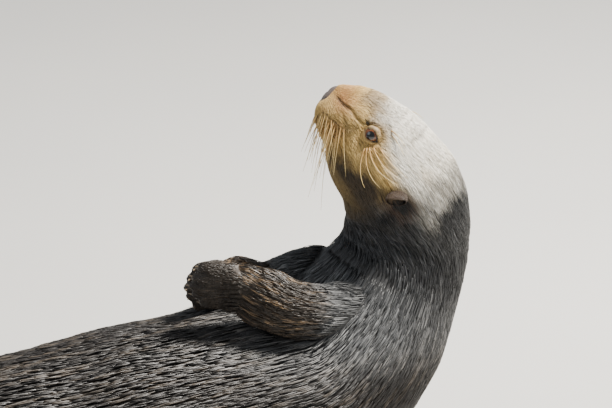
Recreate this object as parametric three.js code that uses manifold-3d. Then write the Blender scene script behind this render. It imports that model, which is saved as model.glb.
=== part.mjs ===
// A life-size sea otter, still, lying on its back with the head raised and the forepaws held together.
// Millimetres, +Z up. The tail points to -X, the head end is at +X and looks back over the belly,
// and the animal's left side is at -Y. The floor is z = 0, and the origin is the middle of the flat
// on which the ribs rest.
import * as THREE from "three";
import { mergeVertices } from "three/addons/utils/BufferGeometryUtils.js";
import Module from "manifold-3d";

const wasm = await Module();
wasm.setup();

// ---- Driving sizes -------------------------------------------------------------------------

const GAP = 0.35; // clearance between pieces that touch
const NOSE = { x: 75.4, z: 348.7 }; // middle of the muzzle's front, before the head is turned
const HEAD_PITCH = 50; // degrees, the muzzle's rise above the level
const HEAD_TURN = 38.6; // degrees, the head turned to its own right
const TURN_AXIS_X = 150; // the neck's upright axis, about which the head turns
const EYE_RADIUS = 8.6;
const EYE_SEAT = { behind: 48, above: 22, out: 30 }; // eyeball's centre on the head
const EAR_SEAT = { behind: 102, above: 14, out: 54 };
const EAR = { length: 21, width: 28, thick: 5.5, dish: 6 };
const NOSE_PAD = { behind: 1.5, above: -0.5, long: 7.5, wide: 13.5, high: 9.5 };

// Cross-sections of the trunk, from the tip of the tail to the back of the head:
// centre x, y, z, then half width, depth towards the belly, depth towards the back.
const TRUNK_SECTIONS = {
  tail_tip: [-836, -34, 8, 3, 2, 2],
  tail_end: [-814, -30, 10, 17, 7, 11],
  tail_middle: [-735, -14, 13, 29, 12, 15],
  tail_root: [-645, -2, 20, 36, 18, 23],
  rump_end: [-565, 0, 38, 54, 34, 41],
  rump: [-482, 0, 63, 84, 59, 67],
  loins: [-370, 0, 79, 101, 72, 83],
  belly: [-245, 0, 84, 107, 76, 88],
  waist: [-120, 0, 89, 109, 84, 93],
  ribs: [-10, 0, 92, 106, 87, 96],
  chest: [54, 0, 107, 98, 80, 89],
  shoulders: [103, 0, 147, 85, 70, 78],
  neck_base: [132, 0, 186, 69, 60, 67],
  collar: [144, 0, 210, 61, 57, 61],
  neck: [148, 0, 229, 57, 57, 58],
  neck_top: [149, 0, 243, 56, 56, 57],
  throat: [147, 0, 258, 56, 55, 56],
  nape: [141, 0, 272, 55, 54, 55],
};

// Cross-sections of the head, on the head's own axis:
// distance behind the muzzle's front, highest and lowest point about that axis, half width.
const HEAD_SECTIONS = {
  cheeks: [85, 54, -47, 53],
  temples: [67, 52, -44, 48],
  eyes: [50, 48.5, -38, 42],
  brow: [36, 43, -31.5, 36],
  muzzle: [20, 33, -25, 30],
  snout: [10, 26, -19.5, 25.5],
  nose_front: [1, 18.5, -11, 16],
  tip: [-2.5, 10.8, -3.3, 5],
};

// Soft forms that stand out of the head, or sink in: place on the head, height and spread.
const HEAD_FORMS = {
  whisker_pad: { behind: 14, above: -8, out: 19, height: 5, spread: 10 },
  chin: { behind: 22, above: -27, out: 0, height: 2, spread: 10 },
  mouth: { behind: 24, above: -20, out: 24, height: -2.5, spread: 6 },
  orbit: { behind: 47, above: 21, out: 38, height: -5, spread: 10 },
  brow: { behind: 56, above: 39, out: 28, height: 2, spread: 12 },
  cheek: { behind: 66, above: -12, out: 48, height: 3, spread: 17 },
};

// Where each length of the trunk begins and ends.
const LENGTHS = {
  tail: ["tail_tip", "rump_end"],
  rump: ["rump_end", "loins"],
  belly: ["loins", "waist"],
  chest: ["waist", "shoulders"],
  neck: ["shoulders", "nape"],
  head: ["nape", "tip"],
};
const RINGS = { tail: 8, rump: 5, belly: 4, chest: 6, neck: 9, head: 20 };
const AROUND_TRUNK = 28;
const AROUND_LEG = 14;
const LEG_RINGS = 8;

// The limbs: cross-sections as centre x, y, z, half width, half thickness, the direction in which
// the width lies, and the paw's root, its own direction and the direction of its width.
// The left forelimb lies higher on the chest than the right one; the hind limbs mirror each other.
const FORELIMBS = {
  left: {
    sections: {
      shoulder: [104, -38, 172, 30, 26],
      upper_arm: [66, -38, 178, 26, 23],
      elbow: [22, -47, 190, 25, 22],
      forearm: [-5, -38, 202, 27, 21],
      wrist: [-29, -27, 217, 22, 15],
    },
    width: [0, 0, 1],
    paw: { root: [-23, -29, 215], along: [-0.95, 0.2, 0], across: [-0.1, 0.1, -1], bend: -7 },
  },
  right: {
    sections: {
      shoulder: [104, 38, 178, 30, 26],
      upper_arm: [68, 42, 183, 27, 24],
      elbow: [32, 49, 176, 24, 21],
      forearm: [2, 42, 187, 25, 19],
      wrist: [-22, 25, 199, 21, 14],
    },
    width: [0, 0, 1],
    paw: { root: [-16, 28, 197], along: [-0.93, -0.2, 0.1], across: [-0.1, -0.1, -1], bend: 6 },
  },
};
const HIND_LIMB = {
  sections: {
    hip: [-440, -52, 84, 50, 44],
    thigh: [-470, -76, 98, 48, 40],
    knee: [-512, -92, 110, 37, 31],
    ankle: [-558, -99, 122, 24, 19],
  },
  width: [0, -1, 0],
  paw: { root: [-550, -98, 120], along: [-0.72, -0.26, 0.64], across: [0.05, -0.94, -0.33], bend: 14 },
};

// Paws are fans: the palm or sole spreads from a narrow root to a row of toes.
// Half widths and half thicknesses at the root and at the tips, and how far each toe reaches.
const FOREPAW = {
  width: [22, 22],
  thickness: [15, 7],
  reach: [40, 45, 48, 45, 38],
  web: 5,
  ridge: 2,
  squareness: 2.4,
  columns: 14,
  rows: 6,
};
const FLIPPER = {
  width: [22, 56],
  thickness: [16, 2.4],
  reach: [124, 136, 150, 167, 186],
  web: 16,
  ridge: 2.8,
  squareness: 3.4,
  columns: 18,
  rows: 7,
};
const TOES = [-0.8, -0.4, 0, 0.4, 0.8]; // places of the five toes across a fan, from inner to outer
const TOE_SPREAD = 0.13;
const FAN_EDGE = 0.6; // half thickness of a fan at its very edge
const FAN_ROUNDING = 0.22; // share of a fan's length in which the toes' tips round off
const CLAW = { length: 9, radius: 1.9, clearance: 0.8 };

const COLOURS = {
  pale_fur: [0xcdbfa6, 0.75],
  dark_fur: [0x2c2622, 0.5],
  brown_fur: [0x43372d, 0.55],
  nose_skin: [0x1d1b1c, 0.45],
  eye: [0x0c0908, 0.08],
  claw: [0x4a4038, 0.4],
};

// ---- Frames and curves ---------------------------------------------------------------------

const radians = THREE.MathUtils.degToRad;
const smooth = (x, low, high) => THREE.MathUtils.smoothstep(x, low, high);
const mix = THREE.MathUtils.lerp;
const vector = (x, y, z) => new THREE.Vector3(x, y, z);

const pitch = radians(HEAD_PITCH);
const forward = vector(-Math.cos(pitch), 0, Math.sin(pitch)); // along the head, out of the muzzle
const crown = vector(Math.sin(pitch), 0, Math.cos(pitch)); // out of the top of the head

// A point of the head, before the head is turned: behind the muzzle's tip, above its axis, out to the left.
function onHead({ behind, above, out = 0 }, side = 1) {
  return vector(NOSE.x, 0, NOSE.z)
    .addScaledVector(forward, -behind)
    .addScaledVector(crown, above)
    .add(vector(0, -side * out, 0));
}

// Turns a point about the neck's upright axis, by share of the head's whole turn.
function turned(point, share = 1) {
  const axis = vector(TURN_AXIS_X, 0, 0);
  return point.sub(axis).applyAxisAngle(vector(0, 0, 1), -radians(HEAD_TURN) * share).add(axis);
}

const headRows = Object.values(HEAD_SECTIONS).map(([behind, top, bottom, wide]) => {
  const centre = onHead({ behind, above: (top + bottom) / 2 });
  const half = (top - bottom) / 2;
  return [centre.x, centre.y, centre.z, wide, half, half];
});
const trunkRows = [...Object.values(TRUNK_SECTIONS), ...headRows];
const trunkNames = [...Object.keys(TRUNK_SECTIONS), ...Object.keys(HEAD_SECTIONS)];
const trunkPath = smoothCurve(trunkRows.map(([x, y, z]) => vector(x, y, z)));
const trunkGirth = smoothCurve(trunkRows.map(([, , , wide, belly, back]) => vector(wide, belly, back)));
const stationOf = (name) => trunkNames.indexOf(name) / (trunkNames.length - 1);
const turnStart = stationOf("neck_base");
const turnEnd = stationOf("nape");
const formsStart = stationOf("cheeks");
const noseStart = stationOf("snout");

function smoothCurve(points) {
  return new THREE.CatmullRomCurve3(points, false, "catmullrom", 0.5);
}

// How far the soft forms of the head push out a point of its surface.
function headForms(point) {
  let push = 0;
  for (const form of Object.values(HEAD_FORMS)) {
    for (const side of form.out ? [1, -1] : [1]) {
      const away = point.distanceTo(onHead(form, side)) / form.spread;
      push += form.height * Math.exp(-0.5 * away * away);
    }
  }
  return push;
}

// The trunk's surface: at share t of its length, at an angle round it, 0 at the right side and
// a quarter turn at the belly. Fill is 0 on the spine and 1 on the surface.
function trunkPoint(t, angle, fill, swell) {
  const centre = trunkPath.getPoint(t);
  const along = trunkPath.getTangent(t);
  const bellyward = vector(-along.z, 0, along.x).normalize();
  const sideways = bellyward.clone().cross(along).normalize();
  const girth = trunkGirth.getPoint(t);
  const depth = Math.sin(angle) > 0 ? girth.y : girth.z;
  const offset = sideways
    .multiplyScalar(Math.cos(angle) * (girth.x + swell))
    .addScaledVector(bellyward, Math.sin(angle) * (depth + swell));
  const point = centre.clone().addScaledVector(offset, fill);
  if (t > formsStart && fill > 0) {
    point.addScaledVector(offset.normalize(), fill * headForms(point));
  }
  point.addScaledVector(along, swell * smooth(t, noseStart, stationOf("nose_front")));
  turned(point, smooth(t, turnStart, turnEnd));
  point.z = Math.max(point.z, -swell);
  return point;
}

// A leg's surface: sections along a curve, with the width laid as nearly as can be along "across".
function legPoint(rows, across, t, angle, fill) {
  const path = smoothCurve(rows.map(([x, y, z]) => vector(x, y, z)));
  const girth = smoothCurve(rows.map(([, , , wide, thick]) => vector(wide, thick, 0))).getPoint(t);
  const along = path.getTangent(t);
  const flat = along.clone().cross(across).normalize();
  const wide = flat.clone().cross(along).normalize();
  return path
    .getPoint(t)
    .addScaledVector(wide, Math.cos(angle) * girth.x * fill)
    .addScaledVector(flat, Math.sin(angle) * girth.y * fill);
}

// How much of a toe there is at a place across a fan, 1 on a toe's middle and near 0 between two.
function toeShare(place) {
  return TOES.reduce((sum, toe) => sum + Math.exp(-0.5 * ((place - toe) / TOE_SPREAD) ** 2), 0);
}

// How far the fan reaches at a place across it.
function fanReach(fan, place) {
  const step = THREE.MathUtils.clamp((place - TOES[0]) / (TOES[1] - TOES[0]), 0, TOES.length - 1);
  const toe = Math.min(Math.floor(step), TOES.length - 2);
  const reach = mix(fan.reach[toe], fan.reach[toe + 1], step - toe);
  return reach - fan.web * (1 - Math.min(1, toeShare(place)));
}

// A fan's surface: place runs across it from -1 to 1, t from its root to its toes, and face is
// -1 on the one side and 1 on the other.
function fanPoint(fan, place, t, face, swell) {
  const along = vector(...fan.along).normalize();
  const flat = along.clone().cross(vector(...fan.across)).normalize();
  const across = flat.clone().cross(along).normalize();
  const half = mix(...fan.width, Math.sin((t * Math.PI) / 2));
  const flesh = mix(...fan.thickness, t ** 0.8) + toeShare(place) * fan.ridge * smooth(t, 0.1, 0.5);
  const sides = Math.sqrt(1 - Math.abs(place) ** fan.squareness);
  const tips = Math.sqrt(1 - Math.max(0, (t - 1) / FAN_ROUNDING + 1) ** 2);
  const thick = Math.max(FAN_EDGE, flesh * sides * tips);
  return vector(...fan.root)
    .addScaledVector(along, t * fanReach(fan, place) + swell * (2 * t - 1))
    .addScaledVector(across, place * (half + swell))
    .addScaledVector(flat, face * (thick + swell) + fan.bend * t * t);
}

// ---- Solids --------------------------------------------------------------------------------

// A closed solid from a geometry, whichever way its faces turn.
function solidOf(geometry) {
  const bare = geometry.clone();
  bare.deleteAttribute("normal");
  bare.deleteAttribute("uv");
  const merged = mergeVertices(bare, 1e-3);
  const vertProperties = new Float32Array(merged.attributes.position.array);
  const triVerts = new Uint32Array(merged.index.array);
  const made = new wasm.Manifold(new wasm.Mesh({ numProp: 3, vertProperties, triVerts }));
  if (made.volume() > 0) return made;
  triVerts.reverse();
  return new wasm.Manifold(new wasm.Mesh({ numProp: 3, vertProperties, triVerts }));
}

// Carries a cylinder's surface to place(t, angle, fill), so that its two ends are flat caps.
function tube(place, from, to, around, rings) {
  const geometry = new THREE.CylinderGeometry(1, 1, 1, around, rings);
  const position = geometry.attributes.position;
  for (let i = 0; i < position.count; i++) {
    const [x, y, z] = [position.getX(i), position.getY(i), position.getZ(i)];
    const point = place(mix(from, to, y + 0.5), Math.atan2(-z, x), Math.hypot(x, z));
    position.setXYZ(i, point.x, point.y, point.z);
  }
  return solidOf(geometry);
}

// The largest body of a cut solid, without the slivers that a cut may leave.
function largest(solid) {
  return solid.decompose().reduce((a, b) => (a.volume() > b.volume() ? a : b));
}

// A length of the trunk. Its swollen copy is what its neighbours are cut with.
function trunkLength(name, swell = 0) {
  const [from, to] = LENGTHS[name].map(stationOf);
  const margin = (GAP / 2 - swell) / trunkPath.getLength();
  const start = from + (from > 0 ? margin : 0);
  const end = to - (to < 1 ? margin : 0);
  const place = (t, angle, fill) => trunkPoint(THREE.MathUtils.clamp(t, 0, 1), angle, fill, swell);
  return tube(place, start, end, AROUND_TRUNK, RINGS[name]);
}

function legSolid({ sections, width }) {
  const rows = Object.values(sections);
  const place = (t, angle, fill) => legPoint(rows, vector(...width), t, angle, fill);
  return tube(place, 0, 1, AROUND_LEG, LEG_RINGS);
}

// The same limb on the other side of the body.
function mirrored({ sections, width, paw }) {
  const flip = ([x, y, z, ...rest]) => [x, -y, z, ...rest];
  return {
    sections: Object.fromEntries(Object.entries(sections).map(([name, row]) => [name, flip(row)])),
    width: flip(width),
    paw: { root: flip(paw.root), along: flip(paw.along), across: flip(paw.across), bend: -paw.bend },
  };
}

function fanSolid(fan, swell = 0) {
  const geometry = new THREE.BoxGeometry(2, 1, 2, fan.columns, fan.rows, 1);
  const position = geometry.attributes.position;
  for (let i = 0; i < position.count; i++) {
    const place = Math.sin((position.getX(i) * Math.PI) / 2);
    const point = fanPoint(fan, place, position.getY(i) + 0.5, position.getZ(i), swell);
    position.setXYZ(i, point.x, point.y, point.z);
  }
  return solidOf(geometry);
}

// A claw at the end of one toe, pointing along the toe and out of its tip.
function clawSolid(fan, toe) {
  const end = fanPoint(fan, TOES[toe], 1, 0, 0);
  const along = end.clone().sub(fanPoint(fan, TOES[toe], 0.85, 0, 0)).normalize();
  const geometry = new THREE.ConeGeometry(CLAW.radius, CLAW.length, 8, 1);
  geometry.applyQuaternion(new THREE.Quaternion().setFromUnitVectors(vector(0, 1, 0), along));
  geometry.translate(...end.addScaledVector(along, CLAW.length * 0.3).toArray());
  return solidOf(geometry);
}

function eyeSolid(side, swell = 0) {
  const geometry = new THREE.SphereGeometry(EYE_RADIUS + swell, 12, 8);
  geometry.translate(...turned(onHead(EYE_SEAT, side)).toArray());
  return solidOf(geometry);
}

// The bare nose pad: a rounded lozenge on the front of the muzzle.
function noseSolid() {
  const { long, wide, high } = NOSE_PAD;
  const geometry = new THREE.SphereGeometry(1, 14, 10).scale(high, wide, long);
  const toHead = new THREE.Matrix4().makeBasis(crown, vector(0, 1, 0), forward);
  if (toHead.determinant() < 0) toHead.makeBasis(crown, vector(0, -1, 0), forward);
  geometry.applyMatrix4(toHead);
  geometry.translate(...onHead(NOSE_PAD).toArray());
  geometry.translate(-TURN_AXIS_X, 0, 0).rotateZ(-radians(HEAD_TURN)).translate(TURN_AXIS_X, 0, 0);
  return solidOf(geometry);
}

// An ear: a small thick flap that points back, hooded over the side of its opening.
function earSolid(side) {
  const geometry = new THREE.SphereGeometry(1, 14, 10);
  const position = geometry.attributes.position;
  const along = forward.clone().multiplyScalar(-0.86).add(vector(0, -side * 0.5, 0)).normalize();
  const flat = along.clone().cross(crown).multiplyScalar(side).normalize();
  const broad = flat.clone().cross(along).normalize();
  for (let i = 0; i < position.count; i++) {
    const [x, y, z] = [position.getX(i), position.getY(i), position.getZ(i)];
    const taper = 1 - 0.3 * Math.max(0, y);
    const point = onHead(EAR_SEAT, side)
      .addScaledVector(along, (y * 0.5 + 0.12) * EAR.length)
      .addScaledVector(broad, x * taper * EAR.width * 0.5)
      .addScaledVector(flat, z * EAR.thick * 0.5 + EAR.dish * (0.5 - x * x));
    turned(point);
    position.setXYZ(i, point.x, point.y, point.z);
  }
  return solidOf(geometry);
}

// ---- The animal ----------------------------------------------------------------------------

const otter = new THREE.Group();

function addPiece(name, solid, colour) {
  const { numProp, vertProperties, triVerts } = largest(solid).getMesh();
  const positions = new Float32Array((vertProperties.length / numProp) * 3);
  for (let i = 0; i < positions.length / 3; i++) {
    for (let k = 0; k < 3; k++) positions[3 * i + k] = vertProperties[numProp * i + k];
  }
  const geometry = new THREE.BufferGeometry()
    .setAttribute("position", new THREE.BufferAttribute(positions, 3))
    .setIndex(new THREE.BufferAttribute(new Uint32Array(triVerts), 1));
  geometry.computeVertexNormals();
  const [shade, roughness] = COLOURS[colour];
  const material = new THREE.MeshStandardMaterial({ color: shade, roughness, metalness: 0 });
  const mesh = new THREE.Mesh(geometry, material);
  mesh.name = name;
  otter.add(mesh);
}

const SIDES = { left: 1, right: -1 };
const flesh = Object.fromEntries(Object.keys(LENGTHS).map((name) => [name, trunkLength(name, GAP)]));
const without = (solid, ...cutters) => cutters.reduce((rest, cutter) => rest.subtract(cutter), solid);

function addTrunk() {
  for (const name of Object.keys(LENGTHS)) {
    const eyes = name === "head" ? [eyeSolid(1, GAP), eyeSolid(-1, GAP)] : [];
    const colour = { head: "pale_fur", neck: "brown_fur" }[name] ?? "dark_fur";
    addPiece(name, without(trunkLength(name), ...eyes), colour);
  }
}

function addFace() {
  addPiece("nose_pad", without(noseSolid(), trunkLength("head", 2 * GAP)), "nose_skin");
  for (const [word, side] of Object.entries(SIDES)) {
    addPiece(`eye_${word}`, eyeSolid(side), "eye");
    addPiece(`ear_${word}`, without(earSolid(side), flesh.head, flesh.neck), "brown_fur");
  }
}

function addLimb(leg, legName, shape, pawName, neighbours) {
  const fan = { ...shape, ...leg.paw };
  const paw = fanSolid(fan);
  addPiece(legName, without(legSolid(leg), fanSolid(fan, GAP), ...neighbours), "dark_fur");
  addPiece(pawName, without(paw, ...neighbours), "dark_fur");
  const around = fanSolid(fan, CLAW.clearance);
  for (let toe = 0; toe < TOES.length; toe++) {
    addPiece(`${pawName}_claw_${toe + 1}`, without(clawSolid(fan, toe), around), "claw");
  }
}

function addLimbs() {
  const hindLimbs = { left: HIND_LIMB, right: mirrored(HIND_LIMB) };
  const [front, rear] = [[flesh.chest, flesh.neck], [flesh.rump, flesh.belly, flesh.tail]];
  for (const side of Object.keys(SIDES)) {
    addLimb(FORELIMBS[side], `foreleg_${side}`, FOREPAW, `forepaw_${side}`, front);
    addLimb(hindLimbs[side], `hind_leg_${side}`, FLIPPER, `flipper_${side}`, rear);
  }
}

addTrunk();
addFace();
addLimbs();

export default otter;
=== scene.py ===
"""A life-size sea otter on its back: one skin, a coat of tufts, eyes, nose, claws and whiskers.

Sizes are millimetres while a shape is worked out, and metres in the meshes. The tail points to -X, the
head is at +X and looks back over the belly, and the animal's left side is at -Y. Every surface is a
function of two shares from 0 to 1: u runs along it and v runs once round it.
"""

import logging
import math
from abc import ABC, abstractmethod
from collections.abc import Callable
from dataclasses import dataclass, field, replace
from enum import Enum

import bpy
import numpy as np
from mathutils import Matrix, Vector


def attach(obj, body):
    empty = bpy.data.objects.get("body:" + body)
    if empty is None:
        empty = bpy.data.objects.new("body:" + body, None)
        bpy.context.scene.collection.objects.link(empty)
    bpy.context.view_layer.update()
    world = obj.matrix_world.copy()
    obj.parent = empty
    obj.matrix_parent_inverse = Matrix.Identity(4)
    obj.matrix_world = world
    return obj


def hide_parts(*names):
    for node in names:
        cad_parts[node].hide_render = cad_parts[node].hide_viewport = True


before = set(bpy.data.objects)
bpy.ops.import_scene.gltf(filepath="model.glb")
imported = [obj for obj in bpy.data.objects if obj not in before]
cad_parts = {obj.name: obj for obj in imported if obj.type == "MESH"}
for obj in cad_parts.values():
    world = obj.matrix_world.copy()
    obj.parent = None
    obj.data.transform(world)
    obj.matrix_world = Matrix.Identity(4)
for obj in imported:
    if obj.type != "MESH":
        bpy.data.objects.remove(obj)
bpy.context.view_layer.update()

LOG = logging.getLogger("otter")
MM = 0.001
Array = np.ndarray
Object = bpy.types.Object
Material = bpy.types.Material
Row = tuple[float, ...]


# ---- Arithmetic on whole arrays ---------------------------------------------------------------


def smooth(x: Array, low: float, high: float) -> Array:
    """Returns 0 below low, 1 above high, and a smooth rise between them."""
    t = np.clip((x - low) / (high - low), 0.0, 1.0)
    return t * t * (3.0 - 2.0 * t)


def mix(a: Array, b: Array, share: Array) -> Array:
    """Returns a where share is 0 and b where share is 1."""
    return a + (b - a) * share


def unit(vectors: Array) -> Array:
    """Returns the vectors at length 1."""
    return vectors / np.maximum(np.linalg.norm(vectors, axis=-1, keepdims=True), 1e-9)


def dot(a: Array, b: Array) -> Array:
    """Returns the dot product along the last axis."""
    return np.sum(a * b, axis=-1)


def column(values: Array) -> Array:
    """Returns the values with one more axis, to multiply vectors with."""
    return np.asarray(values)[..., None]


def pairs(first: Array, second: Array) -> tuple[Array, Array]:
    """Returns every pair of two rows of numbers, the second one running faster, as two long rows."""
    return np.repeat(first, len(second)), np.tile(second, len(first))


def bell(away: Array, width: float) -> Array:
    """Returns a bell curve: 1 where away is 0, and 1/e where it is the width."""
    return np.exp(-((away / width) ** 2))


def one_side(local: Array) -> Array:
    """Returns (behind, above, left) with the right side folded onto the left one."""
    return np.stack([local[:, 0], local[:, 1], np.abs(local[:, 2])], axis=1)


def other_side(row: Row) -> Row:
    """Returns a row whose second number, the distance to the side, is reversed."""
    return (row[0], -row[1], *row[2:])


def ripple(points: Array, size: float, seed: int) -> Array:
    """Works out soft lumps in space: the mean of nine sine waves in random directions.

    Args:
        points: places, in millimetres.
        size: the usual distance between two lumps.
        seed: chooses the pattern.

    Returns:
        Values from about -1 to 1.
    """
    rng = np.random.default_rng(seed)
    waves = unit(rng.normal(size=(9, 3))) * (2 * np.pi / size) * rng.uniform(0.6, 1.5, (9, 1))
    phases = rng.uniform(0, 2 * np.pi, 9)
    return np.mean(np.sin(points @ waves.T + phases), axis=-1) * 2.0


class Curve:
    """A smooth curve through rows of numbers: a uniform Catmull-Rom spline, ends carried on straight."""

    def __init__(self, rows: Array) -> None:
        """Keeps the rows with one more at each end."""
        self.count = len(rows)
        self.rows = np.vstack([2 * rows[0] - rows[1], rows, 2 * rows[-1] - rows[-2]])

    def at(self, t: Array) -> Array:
        """Works out the curve's value: a cubic between each two rows, whose slope at a row is half
        the step from the row before it to the row after it.

        Args:
            t: shares of the curve, 0 to 1.

        Returns:
            One row of values for each share.
        """
        place = np.clip(t, 0, 1) * (self.count - 1)
        step = np.minimum(place.astype(int), self.count - 2)
        w = column(place - step)
        x0, x1, x2, x3 = (self.rows[step + k] for k in range(4))
        m0, m1 = (x2 - x0) / 2, (x3 - x1) / 2
        return x1 + m0 * w + (3 * (x2 - x1) - 2 * m0 - m1) * w**2 + (2 * (x1 - x2) + m0 + m1) * w**3

    def along(self, t: Array) -> Array:
        """Returns the curve's direction at each share, from a small step either way."""
        return unit(self.at(np.clip(t + 1e-4, 0, 1)) - self.at(np.clip(t - 1e-4, 0, 1)))


# ---- The head's own axes and its soft forms ---------------------------------------------------


@dataclass(frozen=True)
class HeadAxes:
    """Where the head is and how it is held."""

    nose_x: float = 75.4
    nose_z: float = 348.7
    pitch: float = 50.0
    turn: float = 38.6
    turn_x: float = 150.0

    def axes(self) -> Array:
        """Returns the head's backward, upward and left directions before its turn, one to a row."""
        pitch = math.radians(self.pitch)
        return np.array(
            [[math.cos(pitch), 0, -math.sin(pitch)], [math.sin(pitch), 0, math.cos(pitch)], [0, -1, 0]]
        )

    def place(self, local: Array) -> Array:
        """Returns points from their distances behind the muzzle's front, above its axis and to the left."""
        return np.array([self.nose_x, 0, self.nose_z]) + np.asarray(local, float) @ self.axes()

    def read(self, points: Array) -> Array:
        """Returns (behind, above, left) of points that aren't turned."""
        return (points - np.array([self.nose_x, 0, self.nose_z])) @ self.axes().T

    def turned(self, points: Array, share: Array) -> Array:
        """Turns points about the upright axis of the neck.

        Args:
            points: places.
            share: how much of the head's whole turn each takes; -1 undoes it.

        Returns:
            The turned places.
        """
        angle = -math.radians(self.turn) * np.asarray(share)
        x, y = points[..., 0] - self.turn_x, points[..., 1]
        cos, sin = np.cos(angle), np.sin(angle)
        return np.stack([x * cos - y * sin + self.turn_x, x * sin + y * cos, points[..., 2]], axis=-1)

    def local(self, points: Array) -> Array:
        """Returns (behind, above, left) of points on the turned head."""
        return self.read(self.turned(points, -np.ones(points.shape[:-1])))

    def world(self, local: Array) -> Array:
        """Returns the places on the turned head of (behind, above, left)."""
        placed = self.place(local)
        return self.turned(placed, np.ones(placed.shape[:-1]))


HEAD = HeadAxes()


@dataclass(frozen=True)
class Form:
    """A soft swelling of the head, or a hollow where its height is below 0, on both sides alike."""

    behind: float
    above: float
    out: float
    height: float
    spread: float

    def push(self, local: Array) -> Array:
        """Returns how far it pushes each point out: a bell curve of the distance from its centre."""
        total = np.zeros(len(local))
        for side in (1, -1) if self.out else (1,):
            away = local - np.array([self.behind, self.above, self.out * side])
            total += self.height * np.exp(-0.5 * dot(away, away) / self.spread**2)
        return total


@dataclass(frozen=True)
class Fold:
    """A crease along a line of points, or a ridge where its depth is below 0, on both sides alike."""

    line: tuple[Row, ...]
    depth: float
    width: float

    def distance(self, local: Array) -> Array:
        """Returns each point's distance from the line, the least of those from its straight parts."""
        place = one_side(local)
        nearest = np.full(len(local), 1e9)
        for start, end in zip(np.array(self.line[:-1]), np.array(self.line[1:])):
            run = end - start
            share = np.clip((place - start) @ run / (run @ run), 0, 1)
            nearest = np.minimum(nearest, np.linalg.norm(place - start - column(share) * run, axis=1))
        return nearest

    def push(self, local: Array) -> Array:
        """Returns how far it pushes each point: a bell curve across the line."""
        return -self.depth * bell(self.distance(local), self.width)


@dataclass(frozen=True)
class WhiskerRows:
    """The rows of whisker roots on each side of the muzzle."""

    rows: int = 6
    steps: int = 8

    def roots(self) -> Array:
        """Lays out the roots: rows that run back and rise a little, each lower row set back by a share
        of a step, with small random shifts.

        Returns:
            (behind, above) of each root.
        """
        rng = np.random.default_rng(12)
        step, row = pairs(np.linspace(0, 1, self.steps), np.arange(self.rows))
        behind = 5.5 + 22 * step + 0.9 * (row % 2) + rng.normal(0, 0.35, row.size)
        above = -2.0 + 8.5 * step - 3.3 * row + rng.normal(0, 0.3, row.size)
        return np.stack([behind, above], axis=1)


@dataclass(frozen=True)
class EyeSocket:
    """An eyeball's seat, with lids that ride over it and leave a slit between them."""

    seat: Row = (48.0, 22.0, 30.0)
    radius: float = 8.6
    lid: float = 1.0
    gaze: Row = (-0.22, 0.2, 1.0)
    slant: Row = (1.0, 0.1, 0.0)
    half_length: float = 52.0
    half_height: float = 30.0
    lid_reach: float = 14.0

    def frame(self) -> Array:
        """Returns the slit's lengthwise, upward and outward directions, one to a row."""
        outward = unit(np.array(self.gaze))
        slant = np.array(self.slant)
        lengthwise = unit(slant - outward * (slant @ outward))
        return np.array([lengthwise, np.cross(outward, lengthwise), outward])

    def away(self, left: Array) -> Array:
        """Returns how far points on the left side lie from the eyeball's centre."""
        return np.linalg.norm(left - np.array(self.seat), axis=1)

    def slit(self, local: Array) -> Array:
        """Works out how far from the slit's middle each point lies, seen from the eyeball's centre: the
        length's share to the power 1.7 plus the height's share squared, so that the ends are pointed.

        Args:
            local: points behind, above and to the left.

        Returns:
            0 in the middle, 1 on the lids' rims, and more beyond.
        """
        x, y, z = ((one_side(local) - np.array(self.seat)) @ self.frame().T).T
        over = np.maximum(z, 1e-3)
        length = np.abs(np.arctan2(x, over)) / math.radians(self.half_length)
        height = np.abs(np.arctan2(y, over)) / math.radians(self.half_height)
        return np.where(z > 0, length**1.7 + height**2, 9.0)

    def dress(self, local: Array) -> Array:
        """Moves the head's surface to and from the eyeball's centre: out over the lids, where it is the
        smooth maximum of its own distance and the lids' radius, and in behind the eyeball in the slit.

        Args:
            local: points of the head's surface.

        Returns:
            The moved points.
        """
        side = np.where(local[:, 2] < 0, -1.0, 1.0)
        reach = one_side(local) - np.array(self.seat)
        far = np.linalg.norm(reach, axis=1)
        facing = (reach @ self.frame()[2]) / np.maximum(far, 1e-6)
        lid = self.radius + self.lid
        over = (far + lid + np.sqrt((far - lid) ** 2 + 1.4**2)) / 2
        opening = 1 - smooth(self.slit(local), 0.8, 1.15)
        radius = mix(over, self.radius - 2.2, opening)
        near = smooth(facing, 0.1, 0.45) * (1 - smooth(far, 13.0, 20.0))
        moved = np.array(self.seat) + unit(reach) * column(mix(far, radius, near))
        return moved * np.stack([np.ones(len(side)), np.ones(len(side)), side], axis=1)


SOCKET = EyeSocket()

# The head's soft forms: behind the muzzle's front, above its axis, out to the side, height, spread.
HEAD_FORMS = (
    Form(14, -8, 19, 5.0, 10),  # whisker pads
    Form(22, -27, 0, 2.0, 10),  # chin
    Form(24, -20, 24, -2.5, 6),  # corners of the mouth
    Form(47, 21, 38, -5.0, 10),  # eye hollows
    Form(56, 39, 28, 2.0, 12),  # brows
    Form(66, -12, 48, 3.0, 17),  # cheeks
    Form(9, 19, 12, 1.2, 5),  # folds above the nose
    Form(18, 27, 10, 0.8, 7),  # bridge of the muzzle
    Form(30, 13, 30, 1.0, 6),  # swelling below the nose's fold
    Form(62, 20, 43, 1.6, 9),  # cheekbones
    Form(88, 20, 51, 1.2, 8),  # swelling in front of the ears
    Form(100, -6, 55, 1.6, 12),  # corners of the jaw
)
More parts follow.
